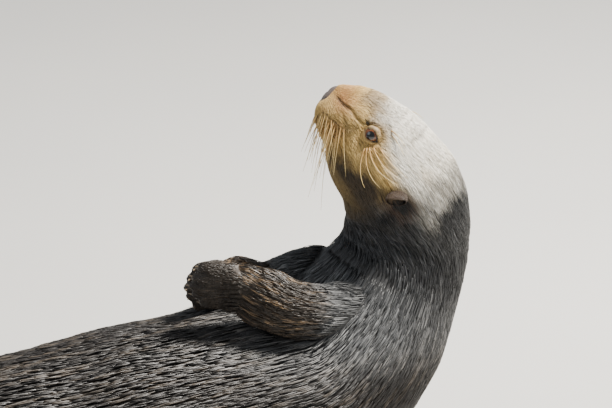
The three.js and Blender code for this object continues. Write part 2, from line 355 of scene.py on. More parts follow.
# The head's creases: points behind, above and out, then depth and width. Depths below 0 are ridges.
HEAD_FOLDS = {
    "nose_fold": Fold(
        ((2, 10, 10), (6, 13.5, 17), (11, 15, 21.5), (20, 20, 26), (28, 20, 29.5), (36, 22.5, 31)),
        1.7,
        1.7,
    ),
    "upper_lid": Fold(
        ((38, 29, 28), (45, 32, 28), (52, 33.5, 31.5), (57.5, 30, 35.5), (60, 25, 38.5)),
        -1.3,
        2.2,
    ),
    "brow_crease": Fold(((48, 37, 25), (56, 37, 30), (62, 32, 35), (64, 26, 39)), 0.9, 2.0),
    "under_eye": Fold(((42, 12, 34), (49, 10.5, 38), (56, 13, 40.5), (61, 18, 41)), 0.8, 1.8),
    "mouth": Fold(((4, -13, 2), (10, -17, 12), (17, -20, 20), (26, -21, 26), (35, -18, 31)), 2.2, 1.9),
    "lip_groove": Fold(((-1, -9, 0), (5, -15, 0)), 1.4, 1.5),
    "muzzle_crease": Fold(((23, 10, 30.5), (29, 8, 33), (32, 12, 33), (30, 16, 31)), 1.0, 2.2),
    "cheek_crease_low": Fold(((54, 16, 40), (62, 8, 47), (73, 6.5, 51), (86, 8, 53.5)), 0.9, 1.6),
    "cheek_crease_middle": Fold(((56, 18, 40), (65, 15, 45.5), (78, 14, 50.5), (92, 20, 51)), 0.9, 1.6),
    "cheek_crease_high": Fold(((59, 20, 40), (67, 19.5, 45), (79, 21, 48.5), (91, 25, 49)), 0.8, 1.6),
    "jaw_hollow": Fold(((86, -37, 35), (96, -26, 47), (104, -17, 53), (109, -3, 56)), 2.4, 5.0),
    "neck_hollow": Fold(((109, -3, 56), (120, -12, 56), (128, -26, 54)), 1.8, 6.0),
}


# ---- Surfaces ---------------------------------------------------------------------------------


class Surface(ABC):
    """A closed skin shape: a function of u along it, v round it, and a height above the skin."""

    flow = 1.0  # 1 where the hair lies towards greater u, -1 where it lies towards smaller u

    @abstractmethod
    def point(self, u: Array, v: Array, height: Array) -> Array:
        """Returns the places at u, v, a height above the skin."""

    @abstractmethod
    def coat(self, u: Array) -> Array:
        """Returns the coat's depth and its tufts' length and width at u, one row for each."""

    def slopes(self, u: Array, v: Array, height: float = 0.0) -> tuple[Array, Array]:
        """Works out how the surface runs, from a small step each way.

        Args:
            u: shares along it.
            v: shares round it.
            height: height above the skin.

        Returns:
            The change of place for a whole unit of u, and for a whole unit of v.
        """
        step = 5e-4
        lift = np.full(len(u), height)
        low, high = np.clip(u - step, 0, 1), np.clip(u + step, 0, 1)
        along = (self.point(high, v, lift) - self.point(low, v, lift)) / column(high - low)
        around = (self.point(u, v + step, lift) - self.point(u, v - step, lift)) / (2 * step)
        return along, around


TRUNK_SECTIONS = {
    "tail_tip": (-836, -34, 8, 3, 2, 2),
    "tail_end": (-814, -30, 10, 17, 7, 11),
    "tail_middle": (-735, -14, 13, 29, 12, 15),
    "tail_root": (-645, -2, 20, 36, 18, 23),
    "rump_end": (-565, 0, 38, 54, 34, 41),
    "rump": (-482, 0, 63, 84, 59, 67),
    "loins": (-370, 0, 79, 101, 72, 83),
    "belly": (-245, 0, 84, 107, 76, 88),
    "waist": (-120, 0, 89, 109, 84, 93),
    "ribs": (-10, 0, 92, 106, 87, 96),
    "chest": (54, 0, 107, 98, 80, 89),
    "shoulders": (103, 0, 147, 85, 70, 78),
    "neck_base": (132, 0, 186, 69, 60, 67),
    "collar": (144, 0, 210, 61, 57, 61),
    "neck": (148, 0, 229, 57, 57, 58),
    "neck_top": (149, 0, 243, 56, 56, 57),
    "throat": (147, 0, 258, 56, 55, 56),
    "nape": (141, 0, 272, 55, 54, 55),
}
HEAD_SECTIONS = {
    "cheeks": (85, 54, -47, 53),
    "temples": (67, 52, -44, 48),
    "eyes": (50, 48.5, -38, 42),
    "brow": (36, 43, -31.5, 36),
    "muzzle": (20, 33, -25, 30),
    "snout": (10, 26, -19.5, 25.5),
    "nose_front": (1, 18.5, -11, 16),
    "tip": (-2.5, 10.8, -3.3, 5),
}
# The coat on the trunk and the head: depth, then a tuft's length and width.
TRUNK_COAT = {
    "tail_tip": (1.4, 12, 1.0),
    "tail_end": (2.2, 18, 1.3),
    "tail_middle": (2.9, 23, 1.5),
    "tail_root": (3.2, 27, 1.7),
    "rump_end": (3.4, 29, 1.8),
    "rump": (3.5, 30, 1.8),
    "loins": (3.5, 30, 1.8),
    "belly": (3.5, 30, 1.8),
    "waist": (3.5, 28, 1.7),
    "ribs": (3.3, 26, 1.6),
    "chest": (3.0, 23, 1.4),
    "shoulders": (2.7, 21, 1.25),
    "neck_base": (2.5, 19, 1.15),
    "collar": (2.4, 18, 1.1),
    "neck": (2.3, 17, 1.05),
    "neck_top": (2.2, 16, 1.0),
    "throat": (2.1, 15, 0.95),
    "nape": (2.0, 14, 0.9),
    "cheeks": (1.7, 11.5, 0.8),
    "temples": (1.5, 9.5, 0.75),
    "eyes": (1.3, 7.5, 0.7),
    "brow": (1.2, 6.2, 0.65),
    "muzzle": (1.1, 4.8, 0.6),
    "snout": (0.95, 3.6, 0.52),
    "nose_front": (0.8, 2.4, 0.45),
    "tip": (0.7, 1.8, 0.4),
}
STATIONS = {name: index / (len(TRUNK_COAT) - 1) for index, name in enumerate(TRUNK_COAT)}


class Trunk(Surface):
    """Tail, body, neck and head in one: oval sections carried along a curve, with the head turned."""

    flow = -1.0
    thinnest = 0.4  # least half width, and least height over the floor, in millimetres

    def __init__(self) -> None:
        """Lays out the sections, the head's on the head's own axis."""
        body = np.array(list(TRUNK_SECTIONS.values()), float)
        behind, top, bottom, wide = np.array(list(HEAD_SECTIONS.values()), float).T
        middle = HEAD.place(np.stack([behind, (top + bottom) / 2, 0 * top], axis=1))
        half = (top - bottom) / 2
        rows = np.vstack([body, np.column_stack([middle, wide, half, half])])
        self.path = Curve(rows[:, :3])
        self.girth = Curve(rows[:, 3:])
        self.coat_rows = np.array(list(TRUNK_COAT.values()))
        self.stations = np.array(list(STATIONS.values()))

    def coat(self, u: Array) -> Array:
        """Returns depth, length and width, straight between the stations."""
        return np.stack([np.interp(u, self.stations, values) for values in self.coat_rows.T], axis=-1)

    def sections(self, t: Array) -> tuple[Array, Array, Array, Array]:
        """Returns centres, right-hand and belly directions and (width, belly depth, back depth)."""
        along = self.path.along(t)
        bellyward = unit(np.stack([-along[:, 2], 0 * along[:, 0], along[:, 0]], axis=1))
        return self.path.at(t), unit(np.cross(bellyward, along)), bellyward, self.girth.at(t)

    def turn_share(self, t: Array) -> Array:
        """Returns how much of the head's turn each station takes."""
        return smooth(t, STATIONS["neck_base"], STATIONS["nape"])

    def point(self, u: Array, v: Array, height: Array) -> Array:
        """Works out the surface: an oval of two half ellipses in each section, the head's forms and folds
        and soft lumps added along the radius, the lids laid over the eyes, then the head's turn. Below
        the floor it is pressed flat.

        Args:
            u: share of the way from the tail's tip to the nose.
            v: share of the way round from the right side over the belly.
            height: height above the skin, in millimetres.

        Returns:
            The places.
        """
        u = np.clip(u, 0, 1)
        swell = height - self.coat(u)[:, 0]
        centre, sideways, bellyward, girth = self.sections(u)
        cos, sin = np.cos(2 * np.pi * v), np.sin(2 * np.pi * v)
        deep = np.where(sin > 0, girth[:, 1], girth[:, 2])
        offset = sideways * column(cos * np.maximum(girth[:, 0] + swell, self.thinnest))
        offset = offset + bellyward * column(sin * np.maximum(deep + swell, self.thinnest))
        on_head = smooth(u, STATIONS["throat"], STATIONS["cheeks"])
        place = centre + offset + self.path.along(u) * column(smooth(u, 0.975, 1.0) * swell)
        headward = np.flatnonzero(u > STATIONS["neck_base"])
        push = ripple(place, 130.0, 3) * 1.2 + ripple(place, 44.0, 4) * 0.5
        push *= 1 - 0.8 * on_head
        near = HEAD.read(place[headward])
        push[headward] += on_head[headward] * sum(form.push(near) for form in HEAD_FORMS)
        folded = smooth(u[headward], STATIONS["neck_base"], STATIONS["neck_top"])
        push[headward] += folded * sum(fold.push(near) for fold in HEAD_FOLDS.values())
        place = place + unit(offset) * column(push)
        eyed = np.flatnonzero(u > STATIONS["nape"])
        place[eyed] = HEAD.place(SOCKET.dress(HEAD.read(place[eyed])))
        place = HEAD.turned(place, self.turn_share(u))
        place[:, 2] = np.maximum(place[:, 2], np.maximum(-swell, self.thinnest))
        return place

    def holds(self, points: Array, margin: float) -> Array:
        """Tells which points lie inside the skin, from the nearest of 320 sections.

        Args:
            points: places.
            margin: how deep inside a point must lie.

        Returns:
            True for each point inside.
        """
        t = np.linspace(0.03, 0.97, 320)
        centre, sideways, bellyward, girth = self.sections(t)
        share = self.turn_share(t)
        pivot = np.array([HEAD.turn_x, 0, 0])
        centre = HEAD.turned(centre, share)
        sideways = HEAD.turned(sideways + pivot, share) - pivot
        bellyward = HEAD.turned(bellyward + pivot, share) - pivot
        nearest = closest(points, centre)
        away = points - centre[nearest]
        x, y = dot(away, sideways[nearest]), dot(away, bellyward[nearest])
        depth = self.coat(t)[nearest, 0] + margin
        deep = np.where(y > 0, girth[nearest, 1], girth[nearest, 2])
        return (x / (girth[nearest, 0] - depth)) ** 2 + (y / (deep - depth)) ** 2 < 1


def closest(points: Array, centres: Array) -> Array:
    """Returns the index of the nearest centre for each point, a few thousand points at a time."""
    squares = dot(centres, centres)
    parts = np.array_split(points, max(1, len(points) // 4000))
    return np.concatenate([np.argmin(squares - 2 * part @ centres.T, axis=1) for part in parts])


@dataclass(frozen=True)
class LimbTable:
    """A limb: its sections (x, y, z, half width, half thickness), the direction of its width, its coat at
    the root and the end, and the shares of its length between which its own colour sets in."""

    rows: tuple[Row, ...]
    width: Row
    coat: tuple[Row, Row]
    fade: Row

    def mirrored(self) -> "LimbTable":
        """Returns the same limb on the other side of the body."""
        return replace(self, rows=tuple(map(other_side, self.rows)), width=other_side(self.width))


class Limb(Surface):
    """A leg: oval sections along a curve."""

    end_reach = 8.0  # how far past its ends a limb still holds points, in millimetres

    def __init__(self, table: LimbTable) -> None:
        """Lays out the sections."""
        self.table = table
        rows = np.array(table.rows, float)
        self.path = Curve(rows[:, :3])
        self.girth = Curve(rows[:, 3:])
        self.end_pace = np.linalg.norm(rows[-1, :3] - rows[-2, :3]) * (len(rows) - 1)
        self.width = np.array(table.width, float)
        self.coat_rows = np.array(table.coat)

    def coat(self, u: Array) -> Array:
        """Returns depth, length and width, evenly from the root to the end."""
        return mix(self.coat_rows[0], self.coat_rows[1], column(u))

    def sections(self, t: Array) -> tuple[Array, Array, Array, Array]:
        """Returns centres, width and thickness directions and (half width, half thickness)."""
        along = self.path.along(t)
        flat = unit(np.cross(along, self.width))
        return self.path.at(t), unit(np.cross(flat, along)), flat, self.girth.at(t)

    def point(self, u: Array, v: Array, height: Array) -> Array:
        """Returns the oval section's point at v, raised by the height less the coat's depth. Past the end
        the ovals go straight on and narrow, so that the last hairs lie over the wrist or the ankle."""
        over = np.maximum(u - 1, 0) * self.end_pace
        u = np.clip(u, 0, 1)
        centre, wide, flat, girth = self.sections(u)
        centre = centre + self.path.along(u) * column(over)
        swell = height - self.coat(u)[:, 0] - np.minimum(over * 0.4, 0.5 * girth[:, 1])
        across = wide * column(np.cos(2 * np.pi * v) * (girth[:, 0] + swell))
        place = centre + across + flat * column(np.sin(2 * np.pi * v) * (girth[:, 1] + swell))
        return place + unit(place - centre) * column(ripple(place, 46.0, 8))

    def holds(self, points: Array, margin: float) -> Array:
        """Tells which points lie inside the skin by more than the margin, from the nearest section."""
        t = np.linspace(0, 1, 60)
        centre, wide, flat, girth = self.sections(t)
        nearest = closest(points, centre)
        away = points - centre[nearest]
        depth = self.coat(t)[nearest, 0] + margin
        x = dot(away, wide[nearest]) / (girth[nearest, 0] - depth)
        y = dot(away, flat[nearest]) / (girth[nearest, 1] - depth)
        beyond = np.abs(dot(away, self.path.along(t)[nearest])) > self.end_reach
        return (x**2 + y**2 < 1) & ~beyond

    def claims(self, points: Array) -> Array:
        """Returns how far each place wears the limb's own colour: not at the root, but beyond its fade."""
        t = np.linspace(0, 1, 60)
        nearest = closest(points, self.sections(t)[0])
        return self.holds(points, -2.0) * smooth(t[nearest], *self.table.fade)


TOES = np.array([-0.8, -0.4, 0.0, 0.4, 0.8])  # the toes' middles, as shares of the half width


@dataclass(frozen=True)
class PawTable:
    """A paw: its root, directions and bend, its half widths and thicknesses and its toes' reach."""

    root: Row
    along: Row
    across: Row
    bend: float
    width: Row
    thickness: Row
    reach: Row
    web: float
    ridge: float
    squareness: float
    coat: tuple[Row, Row]

    def mirrored(self) -> "PawTable":
        """Returns the same paw on the other side of the body."""
        directions = {key: other_side(getattr(self, key)) for key in ("root", "along", "across")}
        return replace(self, bend=-self.bend, **directions)


class Paw(Surface):
    """A paw or flipper: a fan with two faces, which swells over the toes and thins in the web."""

    thinnest = 0.3  # half the thickness of the web's edge, in millimetres

    def __init__(self, table: PawTable) -> None:
        """Keeps the table and works out the three directions."""
        self.table = table
        self.along = unit(np.array(table.along, float))
        self.flat = unit(np.cross(self.along, np.array(table.across, float)))
        self.across = np.cross(self.flat, self.along)
        self.coat_rows = np.array(table.coat)

    def coat(self, u: Array) -> Array:
        """Returns depth, length and width, evenly from the root to the tips."""
        return mix(self.coat_rows[0], self.coat_rows[1], column(u))

    def toe_share(self, place: Array) -> Array:
        """Returns 1 on a toe's middle and near 0 between two toes."""
        return np.sum(np.exp(-0.5 * ((column(place) - TOES) / 0.13) ** 2), axis=-1)

    def point(self, u: Array, v: Array, height: Array) -> Array:
        """Works out the fan: v below a half runs across the one face and then back across the other; the
        thickness rounds off at the sides and the tips, and the whole bends with the square of u.

        Args:
            u: share of the way from the root to the toes.
            v: share of the way round.
            height: height above the skin, in millimetres.

        Returns:
            The places.
        """
        table = self.table
        u, turn = np.clip(u, 0, 1), np.mod(v, 1.0)
        face = np.where(turn < 0.5, 1.0, -1.0)
        place = np.where(turn < 0.5, -np.cos(2 * np.pi * turn), -np.cos(2 * np.pi * (1 - turn)))
        swell = height - self.coat(u)[:, 0]
        toe = self.toe_share(place)
        half = mix(*table.width, np.sin(u * np.pi / 2))
        flesh = mix(*table.thickness, u**0.8) + toe * table.ridge * smooth(u, 0.1, 0.5)
        sides = np.sqrt(np.maximum(0, 1 - np.abs(place) ** table.squareness))
        tips = np.sqrt(np.maximum(0, 1 - np.maximum(0, (u - 1) / 0.22 + 1) ** 2))
        thick = np.maximum(flesh * sides * tips + swell * np.minimum(1, sides * tips * 2), self.thinnest)
        reach = np.interp(place, TOES, table.reach)
        reach = reach - table.web * (1 - np.minimum(1, toe)) * smooth(u, 0.5, 1)
        where = np.array(table.root) + self.along * column(u * reach + swell * (2 * u - 1))
        where = where + self.across * column(place * (half + swell))
        return where + self.flat * column(face * thick + table.bend * u * u)


# The limbs' coats at the root and at the end: depth, then a tuft's length and width.
FORELIMB_COAT = ((2.4, 20, 1.3), (1.5, 14, 1.0))
HINDLIMB_COAT = ((3.0, 23, 1.6), (1.6, 14, 1.1))
LIMBS = {
    "foreleg_left": LimbTable(
        (
            (104, -38, 172, 30, 26),
            (66, -38, 178, 26, 23),
            (22, -47, 190, 25, 22),
            (-5, -38, 202, 27, 21),
            (-29, -27, 217, 22, 15),
        ),
        (0, 0, 1),
        FORELIMB_COAT,
        (0.3, 0.52),
    ),
    "foreleg_right": LimbTable(
        (
            (104, 38, 178, 30, 26),
            (68, 42, 183, 27, 24),
            (32, 49, 176, 24, 21),
            (2, 42, 187, 25, 19),
            (-22, 25, 199, 21, 14),
        ),
        (0, 0, 1),
        FORELIMB_COAT,
        (0.3, 0.52),
    ),
    "hind_leg_left": LimbTable(
        (
            (-440, -52, 84, 50, 44),
            (-470, -76, 98, 48, 40),
            (-512, -92, 110, 37, 31),
            (-558, -99, 122, 24, 19),
        ),
        (0, -1, 0),
        HINDLIMB_COAT,
        (0.25, 0.9),
    ),
}
LIMBS["hind_leg_right"] = LIMBS["hind_leg_left"].mirrored()

# Half widths, half thicknesses, the toes' reach, web, ridge, squareness of the sides, and the coat.
FOREPAW = ((22, 22), (15, 7), (40, 45, 48, 45, 38), 5, 2, 2.4, ((1.3, 10, 0.9), (0.6, 3.4, 0.5)))
FLIPPER = ((22, 56), (16, 2.4), (124, 136, 150, 167, 186), 16, 2.8, 3.4, ((1.5, 12, 1.1), (0.6, 5.0, 0.8)))
PAWS = {
    "forepaw_left": PawTable((-23, -29, 215), (-0.95, 0.2, 0), (-0.1, 0.1, -1), -7, *FOREPAW),
    "forepaw_right": PawTable((-16, 28, 197), (-0.93, -0.2, 0.1), (-0.1, -0.1, -1), 6, *FOREPAW),
    "flipper_left": PawTable((-550, -98, 120), (-0.72, -0.26, 0.64), (0.05, -0.94, -0.33), 14, *FLIPPER),
}
PAWS["flipper_right"] = PAWS["flipper_left"].mirrored()

# The left ear's middle, in the head's own distances, and its half length and half height.
EAR_SEAT = np.array([103.0, 11.5, 54.0])
EAR_HALF = np.array([9.6, 6.4])


def ear_axes() -> Array:
    """Returns the left ear's lengthwise, upward and outward directions, in the head's own distances."""
    out = unit(np.array([0.26, -0.1, 0.96]))
    length = np.array([0.66, 0.75, 0.0])
    length = unit(length - out * (length @ out))
    return np.array([length, np.cross(out, length), out])


class Ear(Surface):
    """An ear: a small cup with a hooded upper rim and a bowl, coloured near black as bare skin and as
    painted shade under the hood.
    """

    # u, share of the radius and rise in millimetres, from the base over the rim into the bowl
    profile = np.array(
        [
            (0.0, 0.05, -13.0),
            (0.12, 0.9, -10.0),
            (0.3, 1.0, -4.0),
            (0.44, 1.02, 2.0),
            (0.5, 0.97, 3.4),
            (0.56, 0.86, 3.2),
            (0.64, 0.8, 0.5),
            (0.8, 0.6, -5.0),
            (1.0, 0.02, -8.0),
        ]
    )

    def __init__(self, side: float) -> None:
        """Sets the cup on the head: side is 1 for the left ear and -1 for the right one."""
        self.side = side

    def coat(self, u: Array) -> Array:
        """Returns one depth, length and width for the whole ear."""
        return np.broadcast_to(np.array([0.5, 2.8, 0.42]), (len(u), 3))

    def point(self, u: Array, v: Array, height: Array) -> Array:
        """Works out the cup: a profile of radius and rise is carried round an oval. The upper half rises
        further and leans over the opening, and the lower edge sinks into the fur.

        Args:
            u: share of the way from the base over the rim into the bowl.
            v: share of the way round.
            height: height above the skin, in millimetres.

        Returns:
            The places.
        """
        u = np.clip(u, 0, 1)
        radius = np.interp(u, self.profile[:, 0], self.profile[:, 1])
        rise = np.interp(u, self.profile[:, 0], self.profile[:, 2])
        cos, sin = np.cos(2 * np.pi * v), np.sin(2 * np.pi * v)
        swell = np.where(u > 0.53, -1.0, 1.0) * (height - 0.4)
        upper = np.maximum(sin, 0) ** 1.2
        rise = rise + smooth(rise, -6, 3) * (2.6 * upper - 1.4 * np.maximum(-sin, 0))
        x = cos * (EAR_HALF[0] * radius + swell)
        y = sin * (EAR_HALF[1] * radius + swell) - upper * smooth(rise, 0, 7) * 2.4
        local = EAR_SEAT + np.stack([x, y, rise], axis=1) @ ear_axes()
        return HEAD.world(local * np.array([1, 1, self.side]))


# ---- Meshes -----------------------------------------------------------------------------------


def new_mesh(name: str, points: Array, corners: Array, sizes: Array) -> Object:
    """Makes a smooth mesh object at the origin.

    Args:
        name: the piece's name.
        points: places in millimetres.
        corners: the faces' vertex numbers, one face after another.
        sizes: how many corners each face has.

    Returns:
        The object, linked to the scene.
    """
    mesh = bpy.data.meshes.new(name)
    mesh.vertices.add(len(points))
    mesh.vertices.foreach_set("co", np.ascontiguousarray(points * MM, np.float32).ravel())
    mesh.loops.add(len(corners))
    mesh.loops.foreach_set("vertex_index", np.ascontiguousarray(corners, np.int32))
    mesh.polygons.add(len(sizes))
    starts = np.concatenate([[0], np.cumsum(sizes)[:-1]])
    mesh.polygons.foreach_set("loop_start", starts.astype(np.int32))
    mesh.polygons.foreach_set("use_smooth", np.ones(len(sizes), bool))
    mesh.update(calc_edges=True)
    mesh.validate()
    piece = bpy.data.objects.new(name, mesh)
    bpy.context.scene.collection.objects.link(piece)
    return piece


def places(mesh: bpy.types.Mesh) -> Array:
    """Returns a mesh's vertices in millimetres."""
    found = np.empty(len(mesh.vertices) * 3, np.float32)
    mesh.vertices.foreach_get("co", found)
    return found.reshape(-1, 3).astype(float) / MM


def set_values(piece: Object, name: str, values: Array) -> None:
    """Stores one number for each vertex under a name."""
    layer = piece.data.attributes.new(name, "FLOAT", "POINT")
    layer.data.foreach_set("value", np.ascontiguousarray(values, np.float32))


def set_unwrap(piece: Object, name: str, places: Array) -> None:
    """Stores a flat place for each face corner under a name."""
    layer = piece.data.uv_layers.new(name=name)
    layer.uv.foreach_set("vector", np.ascontiguousarray(places, np.float32).ravel())


@dataclass
class Shell:
    """A closed mesh in the making: places, corners, face sizes and a flat place for each corner."""

    points: Array
    corners: Array
    sizes: Array
    flat: Array

    def build(self, name: str) -> Object:
        """Returns it as an object with its unwrap."""
        piece = new_mesh(name, self.points, self.corners, self.sizes)
        set_unwrap(piece, "OFBake", self.flat)
        return piece


def closed_grid(points: Array, u: Array, v: Array, zipped: bool = False) -> Shell:
    """Closes a grid of rows into a shell: quads between rows, and at each end a fan of triangles round
    the row's middle, or a row of quads across it where it is zipped.

    Args:
        points: places, rows by columns by 3, the columns running once round.
        u: the rows' shares, for the unwrap.
        v: the columns' shares, for the unwrap.
        zipped: whether the ends are closed straight across.

    Returns:
        The shell.
    """
    rows, columns = points.shape[:2]
    index = np.arange(rows * columns).reshape(rows, columns)
    after = np.roll(index, -1, axis=1)
    quads = np.stack([index[:-1], after[:-1], after[1:], index[1:]], axis=-1).reshape(-1, 4)
    v_next = np.append(v[1:], 1.0)
    low, high = (np.broadcast_to(side[:, None], (rows - 1, columns)) for side in (u[:-1], u[1:]))
    left, right = (np.broadcast_to(side, low.shape) for side in (v, v_next))
    flats = [np.stack([left, low, right, low, right, high, left, high], axis=-1).reshape(-1, 2)]
    body = points.reshape(-1, 3)
    if zipped:
        k = np.arange(columns // 2 - 1)
        lids = [np.stack([row[k], row[-1 - k], row[-2 - k], row[k + 1]], axis=1) for row in index[[0, -1]]]
        caps = np.vstack([lids[0], lids[1][:, ::-1]])
        flats.append(np.full((caps.size, 2), 0.5))
    else:
        body = np.vstack([body, points[0].mean(axis=0), points[-1].mean(axis=0)])
        start = np.stack([np.full(columns, index.size), after[0], index[0]], axis=1)
        end = np.stack([np.full(columns, index.size + 1), index[-1], after[-1]], axis=1)
        caps = np.vstack([start, end])
        between = (v + v_next) / 2
        for row, one, other in ((u[0], v_next, v), (u[-1], v, v_next)):
            level = np.full(columns, row)
            flats.append(np.stack([between, level, one, level, other, level], axis=1).reshape(-1, 2))
    corners = np.concatenate([quads.ravel(), caps.ravel()])
    sizes = np.repeat([4, caps.shape[1]], [len(quads), len(caps)])
    return Shell(body, corners, sizes, np.vstack(flats))


def outward(shell: Shell) -> Shell:
    """Turns a shell's faces outwards: where its signed volume is below 0, each face is listed backwards."""
    order = np.concatenate([[0], np.cumsum(shell.sizes)])
    a, b, c = (shell.points[shell.corners[order[:-1] + k]] for k in range(3))
    if np.sum(dot(a, np.cross(b, c))) >= 0:
        return shell
    face = np.repeat(np.arange(len(shell.sizes)), shell.sizes)
    backwards = order[face] + order[face + 1] - 1 - np.arange(len(shell.corners))
    return Shell(shell.points, shell.corners[backwards], shell.sizes, shell.flat[backwards])


def surface_shell(surface: Surface, u: Array, v: Array, box: Row, zipped: bool = False) -> Shell:
    """Samples a surface's skin on a grid.

    Args:
        surface: the shape.
        u: the rows' shares.
        v: the columns' shares.
        box: the part of the unwrap it takes: left, bottom, width, height.
        zipped: whether the ends are closed straight across.

    Returns:
        The shell with its faces outwards.
    """
    uu, vv = pairs(u, v)
    shell = closed_grid(surface.point(uu, vv, 0 * uu).reshape(len(u), len(v), 3), u, v, zipped)
    shell.flat = np.array(box[:2]) + shell.flat * np.array(box[2:])
    return outward(shell)


def spaced(stops: dict[float, float], surface: Surface) -> Array:
    """Spreads rows along a surface so that their spacing follows a table.

    Args:
        stops: spacing in millimetres at some shares of u.
        surface: the shape whose length is measured along v = 0.25.

    Returns:
        The rows' shares, from 0 to 1.
    """
    fine = np.linspace(0, 1, 3000)
    line = surface.point(fine, np.full(3000, 0.25), np.zeros(3000))
    length = np.linalg.norm(np.diff(line, axis=0), axis=1)
    gap = np.interp((fine[1:] + fine[:-1]) / 2, list(stops), list(stops.values()))
    count = np.concatenate([[0], np.cumsum(length / gap)])
    return np.interp(np.linspace(0, count[-1], int(count[-1])), count, fine)


# ---- Markings ---------------------------------------------------------------------------------


class Marking(Enum):
    """The zones of the coat's colour, each stored as a share from 0 to 1."""

    # The chest, with a painted highlight on the shoulders.
    CHEST_AND_SHEEN = "chest"
    NECK = "neck"
    LIMB = "limb"
    HEAD = "head"
    FACE = "face"
    FOREHEAD = "forehead"
    RUDDY = "ruddy"
    CROWN = "crown"
    # Dark spots, and painted shade along the creases.
    SPOT = "spot"
    # Bare skin, and painted shade in the ear's bowl.
    BARE_AND_BOWL_SHADE = "bare"


# The heights above the floor between which the head's markings set in, which keep them off the body.
HEAD_HEIGHTS = (172, 196)
# The pale face's lower edge: distances behind the muzzle's front, and how high it lies there.
FACE_EDGE = ((10, -20), (30, -16), (44, -6), (64, 6), (84, 9), (96, 13), (110, 20))
# Painted shade along some creases of the head, as dark lines: their half width in millimetres and their
# share.
CREASE_SHADE_LINES = {
    "mouth": (2.0, 1.0),
    "lip_groove": (1.6, 0.9),
    "nose_fold": (1.7, 0.85),
    "muzzle_crease": (1.6, 0.6),
}
# The dark corner of the left eye, in front of the slit.
EYE_CORNER = Fold(((33, 25, 28), (38, 25, 30), (43, 24, 33)), 1.0, 3.0)
# The left shoulder's painted highlight: a pale patch for the wet fur's sheen, given by its middle and its
# half sizes.
SHOULDER_HIGHLIGHT = np.array([[82.0, 46.0, 190.0], [42.0, 40.0, 30.0]])


def body_markings(points: Array) -> tuple[Array, Array]:
    """Works out the chest, paler towards the neck, with a painted highlight of the wet fur's sheen as a
    pale patch on the shoulders, and the neck above it.

    Args:
        points: places in millimetres.

    Returns:
        The shares of the chest, with its painted shoulder highlight, and of the neck.
    """
    folded = np.stack([points[:, 0], np.abs(points[:, 1]), points[:, 2]], axis=1)
    shoulder = (folded - SHOULDER_HIGHLIGHT[0]) / SHOULDER_HIGHLIGHT[1]
    # Painted highlight: the shoulders' wet sheen as a pale patch.
    chest = 1.2 * np.exp(-dot(shoulder, shoulder))
    chest = chest + 0.55 * smooth(points[:, 2], 120, 170) * smooth(points[:, 0], -60, 50)
    neck = smooth(points[:, 2], 150, 235) * smooth(points[:, 0], 30, 70)
    return np.clip(chest, 0, 1), neck


def ear_markings(left: Array) -> tuple[Array, Array, Array]:
    """Works out the ear's own markings from places in the cup's directions.

    Args:
        left: points behind, above and out to the left.

    Returns:
        The shares of the bare bowl, dark as bare skin and as painted shade under the hood, of the dark fur
        round the ear, and of its paler rim, a painted highlight along the rim's outer edge.
    """
    length, up, out = ((left - EAR_SEAT) @ ear_axes().T).T
    lean = smooth(out, 0, 7) * 2.4 * smooth(up, -1, 5)
    away = np.hypot(length, (up + lean) * EAR_HALF[0] / EAR_HALF[1]) / EAR_HALF[0]
    # Painted shade: the bowl under the hood, bare skin coloured near black.
    bowl = (1 - smooth(away, 0.6, 0.93)) * (out < 6.5) * (out > -10)
    eared = bell(np.sum((left - EAR_SEAT) ** 2, axis=1), 14.0**2)
    # Painted highlight: the rim's outer edge, paler than the ear.
    rim = smooth(out, 3.5, 6.5) * smooth(away, 0.7, 0.9) * (away < 1.25)
    return bowl, eared, rim


def dark_markings(left: Array, bowl: Array, ring: Array) -> tuple[Array, Array]:
    """Works out the dark spots of the whiskers' roots, painted shade as dark lines along the creases, and
    the bare skin of the lids, the eye's corner and the ear's bowl, whose dark is partly painted shade.

    Args:
        left: points behind, above and out to the left.
        bowl: the share of the ear's bowl, dark as bare skin and as painted shade.
        ring: the share of the dark fur round the ear.

    Returns:
        The shares of the dark spots with the creases' painted shade, and of the bare skin with the bowl's
        painted shade.
    """
    gaps = left[:, None, :2] - WhiskerRows().roots()[None]
    nearest = np.min(np.sum(gaps**2, axis=2), axis=1)
    spot = np.exp(-nearest / 1.1**2) * (left[:, 2] > 9) * smooth(-left[:, 0], -36, -28)
    # Painted shade: dark lines along the creases.
    for fold, (width, share) in CREASE_SHADE_LINES.items():
        spot = np.maximum(spot, share * bell(HEAD_FOLDS[fold].distance(left), width))
    lids = (1 - smooth(SOCKET.slit(left), 1.1, 1.5)) * (SOCKET.away(left) < SOCKET.lid_reach)
    bare = np.maximum(lids, 0.9 * (1 - smooth(EYE_CORNER.distance(left), 0.8, 3.2)))
    return np.maximum(spot, ring), np.maximum(bare, bowl)


